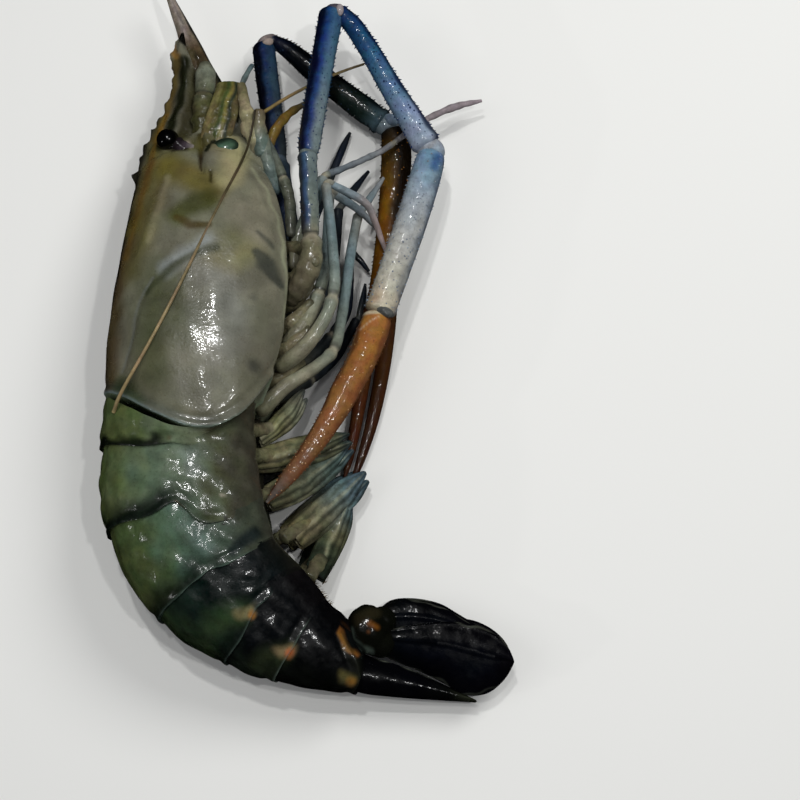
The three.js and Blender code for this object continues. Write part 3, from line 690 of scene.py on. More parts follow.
tailPlan = {
    "rims": [
        {"back": (-57.6, -26.2), "belly": (-13, -27.5), "bow": (8.6, 11.4), "half": 19.6,
         "lift": 19.3},
        {"back": (-58.6, -40.7), "belly": (-14.2, -32.9), "bow": (5.6, 7.6), "hinge": 1.4,
         "half": 18.7, "lift": 18.2},
        {"back": (-55.4, -65.9), "belly": (-10.8, -58.9), "bow": (0.4, 3.8), "hinge": 5.4,
         "half": 19, "lift": 18.2},
        {"back": (-39.9, -89.7), "belly": (-7.4, -68.6), "bow": (-0.8, -0.4), "hinge": 1,
         "half": 17.8, "lift": 17.3},
        {"back": (-21.5, -100.8), "belly": (1.2, -76.9), "bow": (-0.4, -2.2), "hinge": 1,
         "half": 15.4, "lift": 15.2},
        {"back": (-8.2, -105.5), "belly": (6.8, -84.3), "bow": (0.2, -0.4), "half": 13,
         "lift": 12.9},
        {"back": (14.1, -108.9), "belly": (10.8, -86.7), "bow": (2.2, -0.6), "half": 10.5,
         "lift": 10.7},
    ],
    "tuck": 3.4,         # how far each front slips under the piece before it
    "step": 0.04,        # how much smaller the front is than the rim over it
    "lap": 0.42,         # how far below its hinge the second segment runs over the first
    "endBulge": 3.4,     # how far the last segment's rear rounds out over the fan's root
    # For each rear rim, the share of the way down the flank where its step fades out.
    "fade": [0.5, 0.68, 0.72, 0.55, 0.6, 0.6],
    # From the back to the belly edge: share and colour, for each segment.
    "bands": [
        [(0, "#424d28"), (0.25, "#4e5a34"), (0.5, "#5c6850"), (0.75, "#4e4c38"), (1, "#38342a")],
        [(0, "#434f26"), (0.15, "#505c3a"), (0.35, "#4e5e4a"), (0.5, "#54624f"), (0.66, "#3e422e"),
         (0.85, "#38372c"), (1, "#2a2820")],
        [(0, "#404a26"), (0.2, "#42502b"), (0.42, "#435a48"), (0.6, "#3c4a3e"), (0.78, "#363c30"),
         (1, "#2e2e26")],
        [(0, "#22301a"), (0.22, "#12201a"), (0.42, "#020d0a"), (0.7, "#030a0c"), (1, "#171610")],
        [(0, "#141c14"), (0.25, "#05080a"), (0.6, "#040608"), (1, "#0c090a")],
        [(0, "#0b0e0a"), (0.3, "#030405"), (0.6, "#030406"), (1, "#060506")],
    ],
    "rearBand": ["#040a04", "#040c08", "#060e0c", "#040808", "#161a10", "#181a12"],
    "rearMix": [0.95, 0.97, 0.9, 0.7, 0.5, 0.4],
    "rearWide": [3, 8, 9, 5, 4, 4],
    "rearLine": ["#060c06", "#142018", "#4a5c54", "#4c5c54", "#56645a", "#20221a"],
    "strokes": [
        ("#6a756e", [(-31, -46.5), (-29.4, -51)], 4.2, 1, 0.6),
        ("#8c8578", [(-21.4, -56.8)], 1.1, 0.7, 0.7),
        ("#0e0a04", [(-21.2, -62.6), (-20.8, -64), (-21.3, -65.4)], 0.4, 0.6, 0.9),
        ("#4f625a", [(-31.4, -65.5), (-25, -72)], 4, 1, 0.6),
        ("#081318", [(-18, -72.4), (-12.6, -67)], 2.6, 0.8, 0.8),
        ("#4e4830", [(-35.8, -41.8)], 1.1, 1, 0.8),
        ("#5c4228", [(-33.4, -59.4)], 0.9, 1, 0.8),
        ("#2c3c22", [(-24, -92), (-17, -88.6)], 6, 1, 0.8),
        ("#28301c", [(-11, -101.6), (-5, -98.6)], 5, 1, 0.7),
        ("#766a4a", [(-16.6, -89), (-13.4, -88)], 2.3, 1, 0.75),
        ("#7c6e4c", [(-6, -98.4), (-3, -98)], 2.7, 1, 0.85),
        ("#5c5230", [(11.2, -104.6), (13, -105.4)], 2.4, 1, 0.8),
        ("#9c5c24", [(-13.2, -88.8)], 1.7, 1, 0.95),
        ("#a8662e", [(-3.2, -98.6)], 2, 1, 0.95),
        ("#905a24", [(13, -105.8)], 1.9, 1, 0.95),
        ("#6e4718", [(10.8, -89), (10.2, -92.9), (11.6, -96.7), (16, -99)], (0.8, 1.2, 1.2, 0.7),
         0.8, 0.9),
    ],
}


def makeTailSegment(index, plan):
    ringAt = shellLines(plan["rims"])
    count = len(plan["rims"]) - 1
    ends = [rim["back"] for rim in plan["rims"][index:index + 2]]
    tuck = plan["tuck"] / math.dist(*ends) if index else 0
    fadeFront = plan["fade"][index - 1] if index else 1
    fadeRear = plan["fade"][index]
    cap = 0.04

    def shape(t, down):
        # Below its hinge the second segment covers the first as far as the head shell.
        lead = tuck + (plan["lap"] * smoothstep(down, 0.48, 0.66) if index == 1 else 0)
        t = t * (1 + lead) - lead
        low = 1 - plan["step"] * (1 - smoothstep(down, fadeFront - 0.1, fadeFront + 0.1))
        if index == 0:
            low = np.full(len(t), 0.985)
        scale = low + (1 - low) * smoothstep(t, 0.0, 0.45)
        if index == 0:
            scale = scale - 0.03 * smoothstep(down, 0.6, 0.7)
        past = 1 - smoothstep(down, fadeRear - 0.1, fadeRear + 0.1)
        scale = scale - 0.006 * smoothstep(t, 0.9, 1) * (1 - past)
        return np.clip((index + t) / count, 0, 1), scale

    rule = shellRule(ringAt, shape, cap, plan["endBulge"] if index == 5 else 0)
    piece = rollSkin(f"tail_shell_{index + 1}", rule, 90, 160)
    rear = rule(np.full(400, 1 - cap), np.linspace(0, tau, 400))
    points, normals = pointsOf(piece), normalsOf(piece)
    toRear = distanceTo(points, rear)
    down = (1 - valuesOf(piece, "across")) / 2
    side = valuesOf(piece, "along") < 1 - cap * 1.01
    past = 1 - smoothstep(down, fadeRear - 0.08, fadeRear + 0.12)
    lip = bump(toRear, 0.8) * 0.16 * past
    groove = bump(toRear - 2.2, 1.0) * 0.3 * past
    points += normals * ((lip - groove) * side + 0.2 * drift(points, 7, 9))[:, None]
    points[:, 2] = np.maximum(points[:, 2], 0)
    setPoints(piece, points)
    tint = ramp(down + 0.05 * drift(points, 9, 20), plan["bands"][index])
    strip = smoothstep(-toRear - 0.7 * drift(points, 6, index), -plan["rearWide"][index], -1)
    strip = strip * (1 - smoothstep(down, 0.4, fadeRear))
    tint = blend(tint, strip * plan["rearMix"][index], plan["rearBand"][index])
    tint = brush(points, tint, plan["strokes"], 0.5, 30)
    tint = blend(tint, bump(toRear, 0.35) * 0.6 * past, plan["rearLine"][index])
    return finish(piece, [f"abdomen_{index + 1}"], "tailShell", tint)


for index in range(6):
    makeTailSegment(index, tailPlan)

print("limbs")


# The rings of a limb solid from one end to the other: middle, half width in plan, half depth.
def ringStops(node):
    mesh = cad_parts[node].data
    spots = np.zeros(len(mesh.vertices) * 3)
    mesh.vertices.foreach_get("co", spots)
    corners, index = np.unique(np.round(spots.reshape(-1, 3) / mm, 3), axis=0, return_inverse=True)
    index = index.ravel()
    near = [set() for _ in corners]
    for face in mesh.polygons:
        ids = [int(index[v]) for v in face.vertices]
        for corner in ids:
            near[corner].update(ids)

    def layersFrom(start):
        seen, layers = {start}, [[start]]
        while layers[-1]:
            layers.append([c for c in set().union(*(near[v] for v in layers[-1])) - seen])
            seen.update(layers[-1])
        return layers[:-1]

    rings = None
    for start in range(len(corners)):
        layers = layersFrom(start)
        sizes = {len(layer) for layer in layers[1:-1]}
        if len(layers) > 3 and len(layers[-1]) == 1 and len(sizes) == 1:
            rings = [corners[layer] for layer in layers[1:-1]]
            break
    middles = np.array([ring.mean(axis=0) for ring in rings])
    ways = np.gradient(middles, axis=0)
    stops = []
    for number, (ring, middle, way) in enumerate(zip(rings, middles, ways)):
        way = way / np.linalg.norm(way)
        across = np.cross(way, (0, 0, 1))
        across /= np.linalg.norm(across)
        over = np.cross(across, way)
        wide, deep = (math.sqrt(2 * np.mean(((ring - middle) @ axis) ** 2))
                      for axis in (across, over))
        blunt = 0.548 if number in (0, len(rings) - 1) else 1  # the solids' ends are drawn in
        stops.append((*middle, wide / blunt, deep / blunt))
    return np.array(stops)


# A tube through stops of x, y, z, half width in plan and half depth, as a rule for rollSkin,
# with the line it follows. Its inner end is a neck that runs into the piece before it, its
# outer end a swollen collar, and each joint on its way is a pinch behind a swelling.
def tubeRule(stops, form):
    line = splineThrough(stops)
    dense = line(np.linspace(0, 1, 400))
    reachIn, reachOut = form.get("reachIn", 0), form.get("reachOut", 0)
    for end, reach in ((0, reachIn), (-1, reachOut)):
        way = dense[0, :3] - dense[4, :3] if end == 0 else dense[-1, :3] - dense[-5, :3]
        tip = dense[end].copy()
        tip[:3] += way / np.linalg.norm(way) * max(reach, 0.01)
        dense = np.vstack([tip, dense]) if end == 0 else np.vstack([dense, tip])
    run = np.concatenate([[0], np.cumsum(np.linalg.norm(np.diff(dense[:, :3], axis=0), axis=1))])
    length = run[-1]
    ways = np.gradient(dense[:, :3], axis=0)

    def spotAt(place):
        return readTable(place, run, dense)

    def rule(share, turn):
        place = share * length
        spot = spotAt(place)
        way = unit(readTable(place, run, ways))
        across = unit(np.cross(way, (0, 0, 1)))
        over = np.cross(across, way)
        size = np.minimum(spot[:, 3], spot[:, 4])
        nearIn = np.clip(place / (size * form.get("bluntIn", 0.7)), 0, 1)
        nearOut = np.clip((length - place) / (size * form.get("bluntOut", 0.6)), 0, 1)
        swell = (1 - (1 - nearIn) ** 2.2) ** (1 / 2.2) * (1 - (1 - nearOut) ** 2.2) ** (1 / 2.2)
        swell = swell * (1 - form.get("neck", 0) * (1 - smoothstep(place, 0, reachIn + 3.6)))
        swell = swell * (1 + form.get("collar", 0) * bump(length - place - 1.6, 1.6))
        for at in form.get("joints", []):
            gap = place - at * length
            swell = swell * (1 + 0.16 * bump(gap + 1.3, 1.2) - 0.2 * bump(gap - 0.5, 0.6))
        lumpy = 1 + form.get("lumpy", 0) * drift(spot[:, :3] + over * np.sin(turn)[:, None], 3, 2)
        out = across * (np.cos(turn) * spot[:, 3] * swell * lumpy)[:, None]
        up = over * (np.sin(turn) * spot[:, 4] * swell * lumpy)[:, None]
        points = spot[:, :3] + out + up
        points[:, 2] = np.maximum(points[:, 2], tableGap)
        return points
    return rule, length, spotAt


# A thin sheet between two edges given in plan, with a height for each stop along it.
def sheetRule(top, low, heights, thickness, cup=0.0, tilt=0.0, ribs=()):
    topLine, lowLine = splineThrough(top), splineThrough(low)
    heightLine = splineThrough([(z, k) for k, z in enumerate(heights)])

    def rule(share, turn):
        out = np.cos(turn)
        upper, lower = topLine(share), lowLine(share)
        near = np.clip(np.minimum(share, 1 - share) / 0.02, 0, 1)
        ends = np.sqrt(1 - (1 - near) ** 2)
        plan = (upper + lower) / 2 + (lower - upper) / 2 * (out * ends)[:, None]
        body = np.sign(np.sin(turn)) * np.abs(np.sin(turn)) ** 0.6 * thickness / 2
        rise = sum(high * bump(out - at, wide) for at, wide, high in ribs)
        height = heightLine(share)[:, 0] + out * tilt + cup * (1 - out ** 2) + (body + rise) * ends
        return np.column_stack([plan, np.maximum(height, tableGap)])
    return rule


legTints = {
    "upper": ["#5c5a46", "#7f7d68", "#747a6c", "#667472", "#637478", "#80827a"],
    "lower": ["#7c8484", "#6a7a80", "#6c7478", "#7c7e7e"],
    "chela": ["#5c666c", "#6c7072", "#837a7c", "#877c80"],
    "dark": ["#3e3e34", "#23282a", "#101824", "#1c2024"],
}
joint = {"reachIn": 1.6, "reachOut": 0.8, "neck": 0.16, "collar": 0.08}
# A limb follows its own stops or else its solid's rings. Those marked head start at the front of
# the head. Slim is how thick a limb is against its stops, and ring the colour of its joints.
limbPlans = {
    "claw_right_ischium": {
        "slim": 0.86, "tints": ["#3e3a2c", "#5a5542", "#6c6852", "#646c64", "#5a6664", "#606c6c"],
        "stripes": [("#2e4464", -0.3, 0.5, 0.7, 0.9, 0.5, 1.2),
                    ("#040820", -1, 0.8, 0.7, 0.9, 0.45, 1.2)],
        "form": {"joints": [0.44], "lumpy": 0.05}},
    "claw_right_merus": {
        "tints": ["#6a7676", "#627073", "#4c6474", "#38586e", "#2c4e6a"],
        "stripes": [("#0b2a60", -0.15, 0.75, 0.9, 0.92), ("#01041e", -1, 1.0, 0.5, 0.97)],
        "form": {"collar": 0.04, "reachOut": 2.6, "bluntOut": 0.8}},
    "claw_right_carpus": {
        "stops": [(8.6, 95.4, 22.6, 2.5, 2.4), (12.2, 91.8, 22.3, 2.9, 2.7),
                  (17, 84.3, 21.8, 3.1, 3), (25.2, 69.7, 20.6, 3.5, 3.4),
                  (32, 58.2, 19.6, 4.1, 4), (35.2, 52.7, 19.2, 4.6, 4.4)],
        "tints": ["#0a264a", "#163e62", "#285070", "#4c6a88", "#76869e", "#8a94a2"],
        "stripes": [("#03102e", -1, 0.62, 0.6, 0.9)],
        "form": {"neck": 0, "bluntOut": 0.9}},
    "claw_left_ischium": {"tints": ["#4e4e40", "#2c363c", "#16243e", "#36444e"]},
    "claw_left_merus": {
        "tints": ["#363e42", "#2e3a42", "#243646", "#162c42"],
        "stripes": [("#081f44", -0.1, 0.6, 1, 0.85), ("#01020e", -1, 0.95, 0.4, 0.97)],
        "form": {"collar": 0.02, "reachOut": 1.8, "bluntOut": 0.8}},
    "claw_left_carpus": {
        "tints": ["#040820", "#02040a", "#04080c", "#080e0a", "#14221e", "#40545c"],
        "stripes": [("#010204", -1, 0.8, 0.7, 0.9)]},
    "claw_right_finger": {
        "stops": [(20.6, -0.2, 19.2, 4.3, 4.2), (18.6, -6.6, 20, 4.7, 4.2),
                  (15.6, -15.1, 21, 4.3, 3.9), (11.1, -24.3, 22, 4.2, 3.4),
                  (7.2, -32.2, 22.6, 3.5, 2.8), (1.4, -41.6, 23, 2.8, 2.2),
                  (-5.8, -50.8, 22.6, 2, 1.6), (-10.2, -56.1, 22, 0.6, 0.6)],
        "tints": ["#946430", "#8a5a28", "#7e5228", "#7a4f29", "#724c2c", "#664730", "#56504a"],
        "finish": "finger", "form": {"neck": 0, "collar": 0, "reachIn": 0.6},
        "stripes": [("#4a2a14", 1, 0.4, 0.7, 0.9), ("#6a4222", -1, 0.35, 0.7, 0.9)],
        "strokes": [("#b5a488", [(15, -6), (18.4, -3.6), (21, -2.4)], 0.5, 1, 0.5),
                    ("#b5ab90", [(16.4, 0), (25, -1)], 1.4, 0.8, 0.85)]},
    "claw_left_finger": {"tints": ["#3a200c", "#4a2812", "#48240e", "#321a0e"],
                         "finish": "finger", "form": {"neck": 0, "collar": 0}},
}
legJoints = {1: [], 3: [0.37], 4: [0.43], 5: [0.39]}
for side in ("right", "left"):
    for number, bends in legJoints.items():
        upper, lower = ("upper", "lower") if side == "right" else ("dark", "dark")
        limbPlans[f"leg{number}_{side}_upper"] = {"tints": legTints[upper],
                                                  "form": {"joints": bends}}
        limbPlans[f"leg{number}_{side}_lower"] = {"tints": legTints[lower]}
limbPlans["leg1_right_lower"] = {"tints": legTints["chela"], "slim": 0.8,
                                 "form": {"joints": [0.45], "lumpy": 0.1}}
limbPlans["leg4_right_lower"] = {"tints": ["#6a7a82", "#707c80", "#8c8280", "#9c8c88", "#9c8c88"]}
whipForm = {"collar": 0, "neck": 0, "reachIn": 0.5, "reachOut": 0}
limbPlans.update({
    "antennule_right": {
        "finish": "feeler", "head": True, "ring": "#4a4630",
        "stops": [(-32.4, 51.3, 23, 2.9, 2.8), (-32.1, 56, 24, 3, 2.6), (-31.9, 61.6, 24.5, 3, 2.4),
                  (-31.8, 66.2, 24.5, 2.9, 2.4), (-31.6, 70.1, 24.5, 2.7, 2.4),
                  (-31.6, 74.1, 24, 2.6, 2.2), (-31.9, 77.6, 23.4, 1.7, 1.5)],
        "tints": ["#2c2814", "#33301a", "#38361e", "#45442a", "#565a48", "#666a5c", "#4e4c3a"],
        "form": {"joints": [0.6], "lumpy": 0.14}},
    "antennule_left": {"finish": "feeler", "tints": ["#4a4428", "#4c4628", "#5c5c44"],
                       "head": True, "form": {"lumpy": 0.1}},
    "antenna_base_left": {"finish": "feeler", "tints": ["#48442e", "#5c543c", "#6a6248"],
                          "head": True, "form": {"lumpy": 0.1}},
    "antenna_whip_right": {"finish": "whisker", "head": True, "form": whipForm, "smooth": 3,
                           "slimRoot": 0.55,
                           "tints": ["#262214", "#3c3424", "#75664a", "#8c7a58", "#8c7a56"]},
    "antenna_whip_left": {"finish": "whisker", "head": True, "form": whipForm,
                          "tints": ["#6f5c30", "#8a7850", "#4a4030"]},
    "mouth_leg_right": {"finish": "feeler", "tints": ["#4e5046", "#565a4c", "#4a524e"],
                        "slim": 0.8, "form": {"joints": [0.55], "lumpy": 0.08}},
    "mouth_leg_left": {"finish": "feeler", "tints": ["#3c3e34", "#4a4c40", "#4f4e40"]},
})
bodyMiddle = np.array([-16, 0, 20])
headFront = np.array([-30, 46, 20])
outerEnds = {}
limbLines = {}


def orient(node, stops, plan):
    key = node.rsplit("_", 1)[0]
    anchor = outerEnds.get(key, headFront if plan.get("head") else bodyMiddle)
    if np.linalg.norm(stops[0, :3] - anchor) > np.linalg.norm(stops[-1, :3] - anchor):
        stops = stops[::-1]
    outerEnds[key] = stops[-1, :3]
    return stops


def makeLimb(node, plan):
    stops = orient(node, np.array(plan["stops"]) if "stops" in plan else ringStops(node), plan)
    for _ in range(plan.get("smooth", 0)):
        stops[1:-1] = (stops[:-2] + 2 * stops[1:-1] + stops[2:]) / 4
    slim = plan.get("slim", 1)
    stops[:, 3:] *= np.linspace(plan.get("slimRoot", slim), slim, len(stops))[:, None]
    rule, length, spotAt = tubeRule(stops, {**joint, **plan.get("form", {})})
    sides = 44 if node.startswith("claw") else 26
    piece = rollSkin(node + "_shell", rule, int(min(170, max(50, length * 2.6))), sides, 0.12)
    kind = plan.get("finish", "claw" if node.startswith("claw") else "leg")
    finish(piece, [node], kind, limbTint(piece, plan))
    limbLines[node] = rule, length, spotAt


for node in sorted(limbPlans, key=lambda node: ("finger" in node, "lower" in node)):
    makeLimb(node, limbPlans[node])

handPlans = {
    "right": {
        "palm": [(36.4, 50.5, 19, 4.2, 4.1), (34.8, 44.3, 19, 4.6, 4.5),
                 (30.2, 28.7, 18.8, 4.7, 4.6), (25.6, 14.7, 18.8, 4.6, 4.6),
                 (22.2, 4.5, 18.9, 4.5, 4.4), (20.9, 0.4, 18.9, 4.3, 4.2)],
        "fixed": [(23.6, 4.7, 18, 2.8, 2.6), (21.8, 0.7, 17.4, 3, 2.4), (15.2, -14.9, 17.8, 3, 2.3),
                  (6.6, -30.3, 18.4, 2.6, 2.1), (-1.8, -43.5, 19.4, 1.7, 1.5),
                  (-6.6, -50.7, 20.2, 0.8, 0.8)],
        "tints": ["#5f7d96", "#748a9c", "#8b949a", "#989a98", "#a3a29a", "#aca898", "#a08c70"],
        "fixedTints": ["#6a3c1c", "#5c3418", "#502c16", "#442818", "#38241a"],
        "stripes": [("#3a4a5c", -1, 0.5, 1, 0.7)],
        "strokes": [("#123c74", [(37.6, 47.6), (37, 45)], 2.6, 0.8, 0.75),
                    ("#b3ad98", [(24.6, 3.4), (19.6, 0.6)], 3, 0.8, 0.9)],
        "finish": "claw",
    },
    "left": {
        "palm": [(24.4, 64.3, 5.6, 3.8, 3.8), (25.6, 60.3, 4.9, 4.5, 4.5),
                 (25, 41.7, 4.6, 4.5, 4.5), (23.2, 22.7, 4.6, 4.4, 4.4),
                 (21.4, 8.3, 4.6, 4.4, 4.4)],
        "fixed": [(23.6, 11.7, 4.4, 2.4, 2.4), (23.4, 4.7, 4.4, 2.5, 2.5),
                  (21.8, -11.3, 4.3, 2.3, 2.3), (18.6, -28.3, 3.8, 1.9, 1.9),
                  (14.8, -41.3, 3.2, 1.2, 1.2), (13, -45.9, 3, 0.6, 0.6)],
        "tints": ["#0c0c0a", "#50380a", "#7c520c", "#7a4e0a", "#5c360a"],
        "fixedTints": ["#2c1806", "#3c2008", "#341a08", "#28140a"],
        "stripes": [("#040303", -0.9, 1.3, 0.6, 0.9)],
        "finish": "finger",
    },
}


def makeHand(side, plan):
    palmLine = tubeRule(plan["palm"], {**joint, "neck": 0.05, "bluntOut": 0.5})
    fixedLine = tubeRule(plan["fixed"], {"reachIn": 3})
    palm = rollSkin("palm", palmLine[0], 130, 48, 0.1)
    fixed = rollSkin("fixed", fixedLine[0], 110, 30, 0.1)
    tint = np.vstack([limbTint(palm, plan), limbTint(fixed, {"tints": plan["fixedTints"]})])
    hand = joinPieces([palm, fixed], f"claw_{side}_hand")
    finish(hand, [f"claw_{side}_palm"], plan["finish"], tint)
    limbLines[f"claw_{side}_palm"] = palmLine


for side, plan in handPlans.items():
    makeHand(side, plan)

# Soft skin that closes each joint, from inside the one piece to inside the next.
skinPlans = [
    ("claw_right_ischium", "claw_right_merus", 0.96, ["#4c5656", "#5c6664", "#46545a"]),
    ("claw_right_merus", "claw_right_carpus", 0.86, ["#141c3c", "#4a464c", "#142a48"]),
    ("claw_right_carpus", "claw_right_palm", 0.9, ["#8a94a2", "#8c8f94", "#7890a4"]),
    ("claw_left_ischium", "claw_left_merus", 0.92, ["#3c4a54", "#4a5660", "#3c4650"]),
    ("claw_left_merus", "claw_left_carpus", 0.88, ["#1c2440", "#7c706c", "#0c1228"]),
    ("claw_left_carpus", "claw_left_palm", 0.92, ["#3c4c54", "#7c8890", "#1c1c18"]),
]
for number, side in ((n, s) for s in ("right", "left") for n in legJoints):
    skinPlans.append((f"leg{number}_{side}_upper", f"leg{number}_{side}_lower", 0.95,
                      ["#6a6c60", "#8a8674", "#5c6462"] if side == "right"
                      else ["#2c3030", "#4a4c48", "#24282c"]))


def makeJointSkin(inner, outer, size, tints):
    _, innerLength, innerAt = limbLines[inner]
    _, _, outerAt = limbLines[outer]
    ends = [innerAt(innerLength - 2.6), innerAt(innerLength - 0.6), outerAt(0.8), outerAt(2.8)]
    stops = np.array(ends)
    stops[:, 3:] = stops[:, 3:].min(axis=0) * size
    rule, _, _ = tubeRule(stops, {"lumpy": 0.05})
    piece = rollSkin(f"{outer}_joint_skin", rule, 40, 26)
    finish(piece, [], "skin", limbTint(piece, {"tints": tints}))


for skin in skinPlans:
    makeJointSkin(*skin)

# Hard knobs that stand at the joints: middle, half sizes, turn, colour and a slot name.
knobPlans = [
    ((8.6, 95, 25.2), (1.2, 2, 1.1), 0, "#8c8484", "claw_blue"),
    ((-14.2, 90.6, 12.8), (1.9, 1.3, 1.4), 25, "#8e8078", "claw_blue"),
    ((22.6, -0.4, 22.4), (2.6, 1.5, 1.5), -24, "#4a4c4a", "claw_pale"),
    ((2.4, 12, 31.8), (1.6, 2, 1.3), 20, "#5e5a46", "claw_pale"),
    ((24.2, 66.4, 9), (2.4, 1.8, 1.4), -30, "#6c7c8c", "claw_blue"),
]
for number, (middle, half, turn, color, slot) in enumerate(knobPlans, 1):
    knob = makeLump(middle, half, turn)
    knob.name = knob.data.name = f"joint_knob_{number}"
    finish(knob, [], "skin", plainTint(color, len(knob.data.vertices)))

# Crumpled bases by which the legs join the body, and the palp beside the mouth.
baseTints = ["#2a281e", "#524e3a", "#767056", "#6a654d", "#444232"]
palpTints = ["#34321e", "#4e482a", "#6a5424", "#64501f", "#524a30", "#464238"]
basePlans = {
    "leg_base_1": [(-8.9, 20.4, 20, 2, 2), (-4.6, 19.6, 22, 2, 2), (0.6, 17.7, 25, 1.8, 2)],
    "leg_base_2": [(-9.9, 10, 20, 2.2, 2.4), (-4.4, 9.2, 24, 2.3, 2.4), (0.6, 12.3, 27, 1.8, 2)],
    "leg_base_3": [(-9.4, 1.2, 19, 2.2, 2.4), (-3.8, 2.8, 23, 2.3, 2.4), (1.4, 8.3, 24, 1.6, 1.8)],
    "leg_base_4": [(-9.9, -6.6, 19, 2.2, 2.4), (-4, -3.8, 23, 2.3, 2.4), (2, 2.6, 24, 1.5, 1.8)],
    "leg_base_5": [(-10.7, -14, 19, 2.4, 2.4), (-5, -11.2, 23, 2.3, 2.4),
                   (1.4, -5.6, 24, 1.5, 1.8)],
    "leg_base_6": [(-12.9, -22, 18, 2.4, 2.4), (-7, -19.4, 21, 2.2, 2.3),
                   (-0.6, -14.6, 22, 1.5, 1.8)],
    "mouth_palp": [(-13, 44, 19, 1.2, 1.2), (-12.6, 50.6, 20, 1.4, 1.4),
                   (-10.8, 57, 20.6, 1.5, 1.4), (-6.8, 63, 20, 1.3, 1.1),
                   (-1.4, 67.6, 18, 0.8, 0.7), (2.6, 69.4, 17, 0.4, 0.4)],
}
for name, stops in basePlans.items():
    lumpy, tints = (0.12, baseTints) if "base" in name else (0.08, palpTints)
    piece = rollSkin(name, tubeRule(stops, {"lumpy": lumpy})[0], 60, 40)
    finish(piece, [], "skin", limbTint(piece, {"tints": tints}))

# Spines and warts on the claws. Rows: turn round the limb in degrees (0 and 180 are the two
# edges in plan), gap along it and size. Warts: how many, size and colour.
armourPlans = {
    "claw_right_ischium": {"rows": [(5, 2.2, 0.36), (176, 2.2, 0.36)], "from": 0.5,
                           "color": "#4a5a62", "warts": (20, 0.24, "#22304a")},
    "claw_right_merus": {"rows": [(4, 1.15, 0.55), (176, 1.1, 0.55), (50, 2.6, 0.34),
                                  (95, 2.4, 0.34)], "from": 0.02,
                         "color": "#1c3450", "warts": (40, 0.24, "#14264a")},
    "claw_right_carpus": {"rows": [(4, 1.1, 0.6), (176, 1.1, 0.6), (60, 2.4, 0.4),
                                   (115, 2.2, 0.4)], "from": 0.02,
                          "color": "#142c50", "warts": (64, 0.27, "#1a3050")},
    "claw_right_palm": {"rows": [(6, 1.2, 0.5), (174, 1.5, 0.4), (45, 2.8, 0.36),
                                 (130, 2.8, 0.36)], "from": 0.02,
                        "color": "#8090a0", "warts": (120, 0.24, "#727a84")},
    "claw_right_finger": {"rows": [(4, 1.0, 0.4), (176, 1.3, 0.34), (60, 2.2, 0.3),
                                   (120, 2.2, 0.3)], "from": 0.1,
                          "color": "#6a4426", "warts": (50, 0.2, "#a8825a")},
    "claw_left_merus": {"rows": [(4, 1.15, 0.5), (176, 1.15, 0.5)], "from": 0.02,
                        "color": "#101c30", "warts": (30, 0.24, "#0c1830")},
    "claw_left_carpus": {"rows": [(6, 1.2, 0.6), (172, 1.1, 0.6), (90, 2.6, 0.36)], "from": 0.02,
                         "color": "#04080e", "warts": (40, 0.26, "#1c2c3c")},
    "claw_left_palm": {"rows": [(6, 1.3, 0.5), (174, 1.3, 0.5)], "from": 0.04,
                       "color": "#1c1006", "warts": (60, 0.24, "#8a5a1c")},
}


def surfaceFrames(rule, share, turn):
    spots = rule(share, turn)
    along = rule(share + 0.004, turn) - rule(share - 0.004, turn)
    middle = (spots + rule(share, turn + math.pi)) / 2
    around = rule(share, turn + 0.05) - rule(share, turn - 0.05)
    normals = np.cross(along, around)
    normals *= np.sign(np.sum(normals * (spots - middle), axis=1))[:, None]
    return spots, unit(normals), unit(along)


def makeArmour(node, plan, seed):
    draw = np.random.RandomState(seed)
    rule, length, _ = limbLines[node]
    share, turn, size = [], [], []
    for angle, gap, high in plan["rows"]:
        count = int(length * (1 - plan["from"]) / gap)
        places = plan["from"] + (np.arange(count) + 0.5 + 0.5 * draw.rand(count)) / count \
            * (0.97 - plan["from"])
        share.append(places)
        turn.append(math.radians(angle) + 0.16 * draw.normal(size=count))
        size.append(high * draw.uniform(0.45, 1.15, count))
    share, turn, size = (np.concatenate(values) for values in (share, turn, size))
    spots, normals, along = surfaceFrames(rule, share, turn)
    name = node.replace("claw_", "")
    scatter(f"spines_{name}", spineShape, spots + normals * size[:, None] * 0.4,
            normals + 0.5 * along, size, plainTint(plan["color"], len(spots)), "claw")
    count, high, color = plan["warts"]
    share = draw.uniform(plan["from"], 0.96, count)
    turn = np.radians(draw.uniform(15, 165, count))
    spots, normals, _ = surfaceFrames(rule, share, turn)
    sizes = high * draw.uniform(0.6, 1.5, count)
    scatter(f"warts_{name}", grainShape, spots - normals * sizes[:, None] * 0.45, normals, sizes,
            plainTint(color, count), "claw")


for seed, (node, plan) in enumerate(armourPlans.items(), 70):
    makeArmour(node, plan, seed)

print("head")

eyePlan = {
    "height": {"right": 28.6, "left": 13.4},
    "cornea": (-41.4, 50.7),
    "radius": 3.35,
    "stalk": [(-39.9, 50.6), (-37.4, 48.6), (-35, 48.4), (-33, 49.6)],
    "stalkHalf": [2.4, 2.3, 1.7, 1.2],
    "ball": "#020202",
    "stalkTints": ["#080606", "#1e181c", "#3a3238", "#6e6866", "#7c766a"],
}


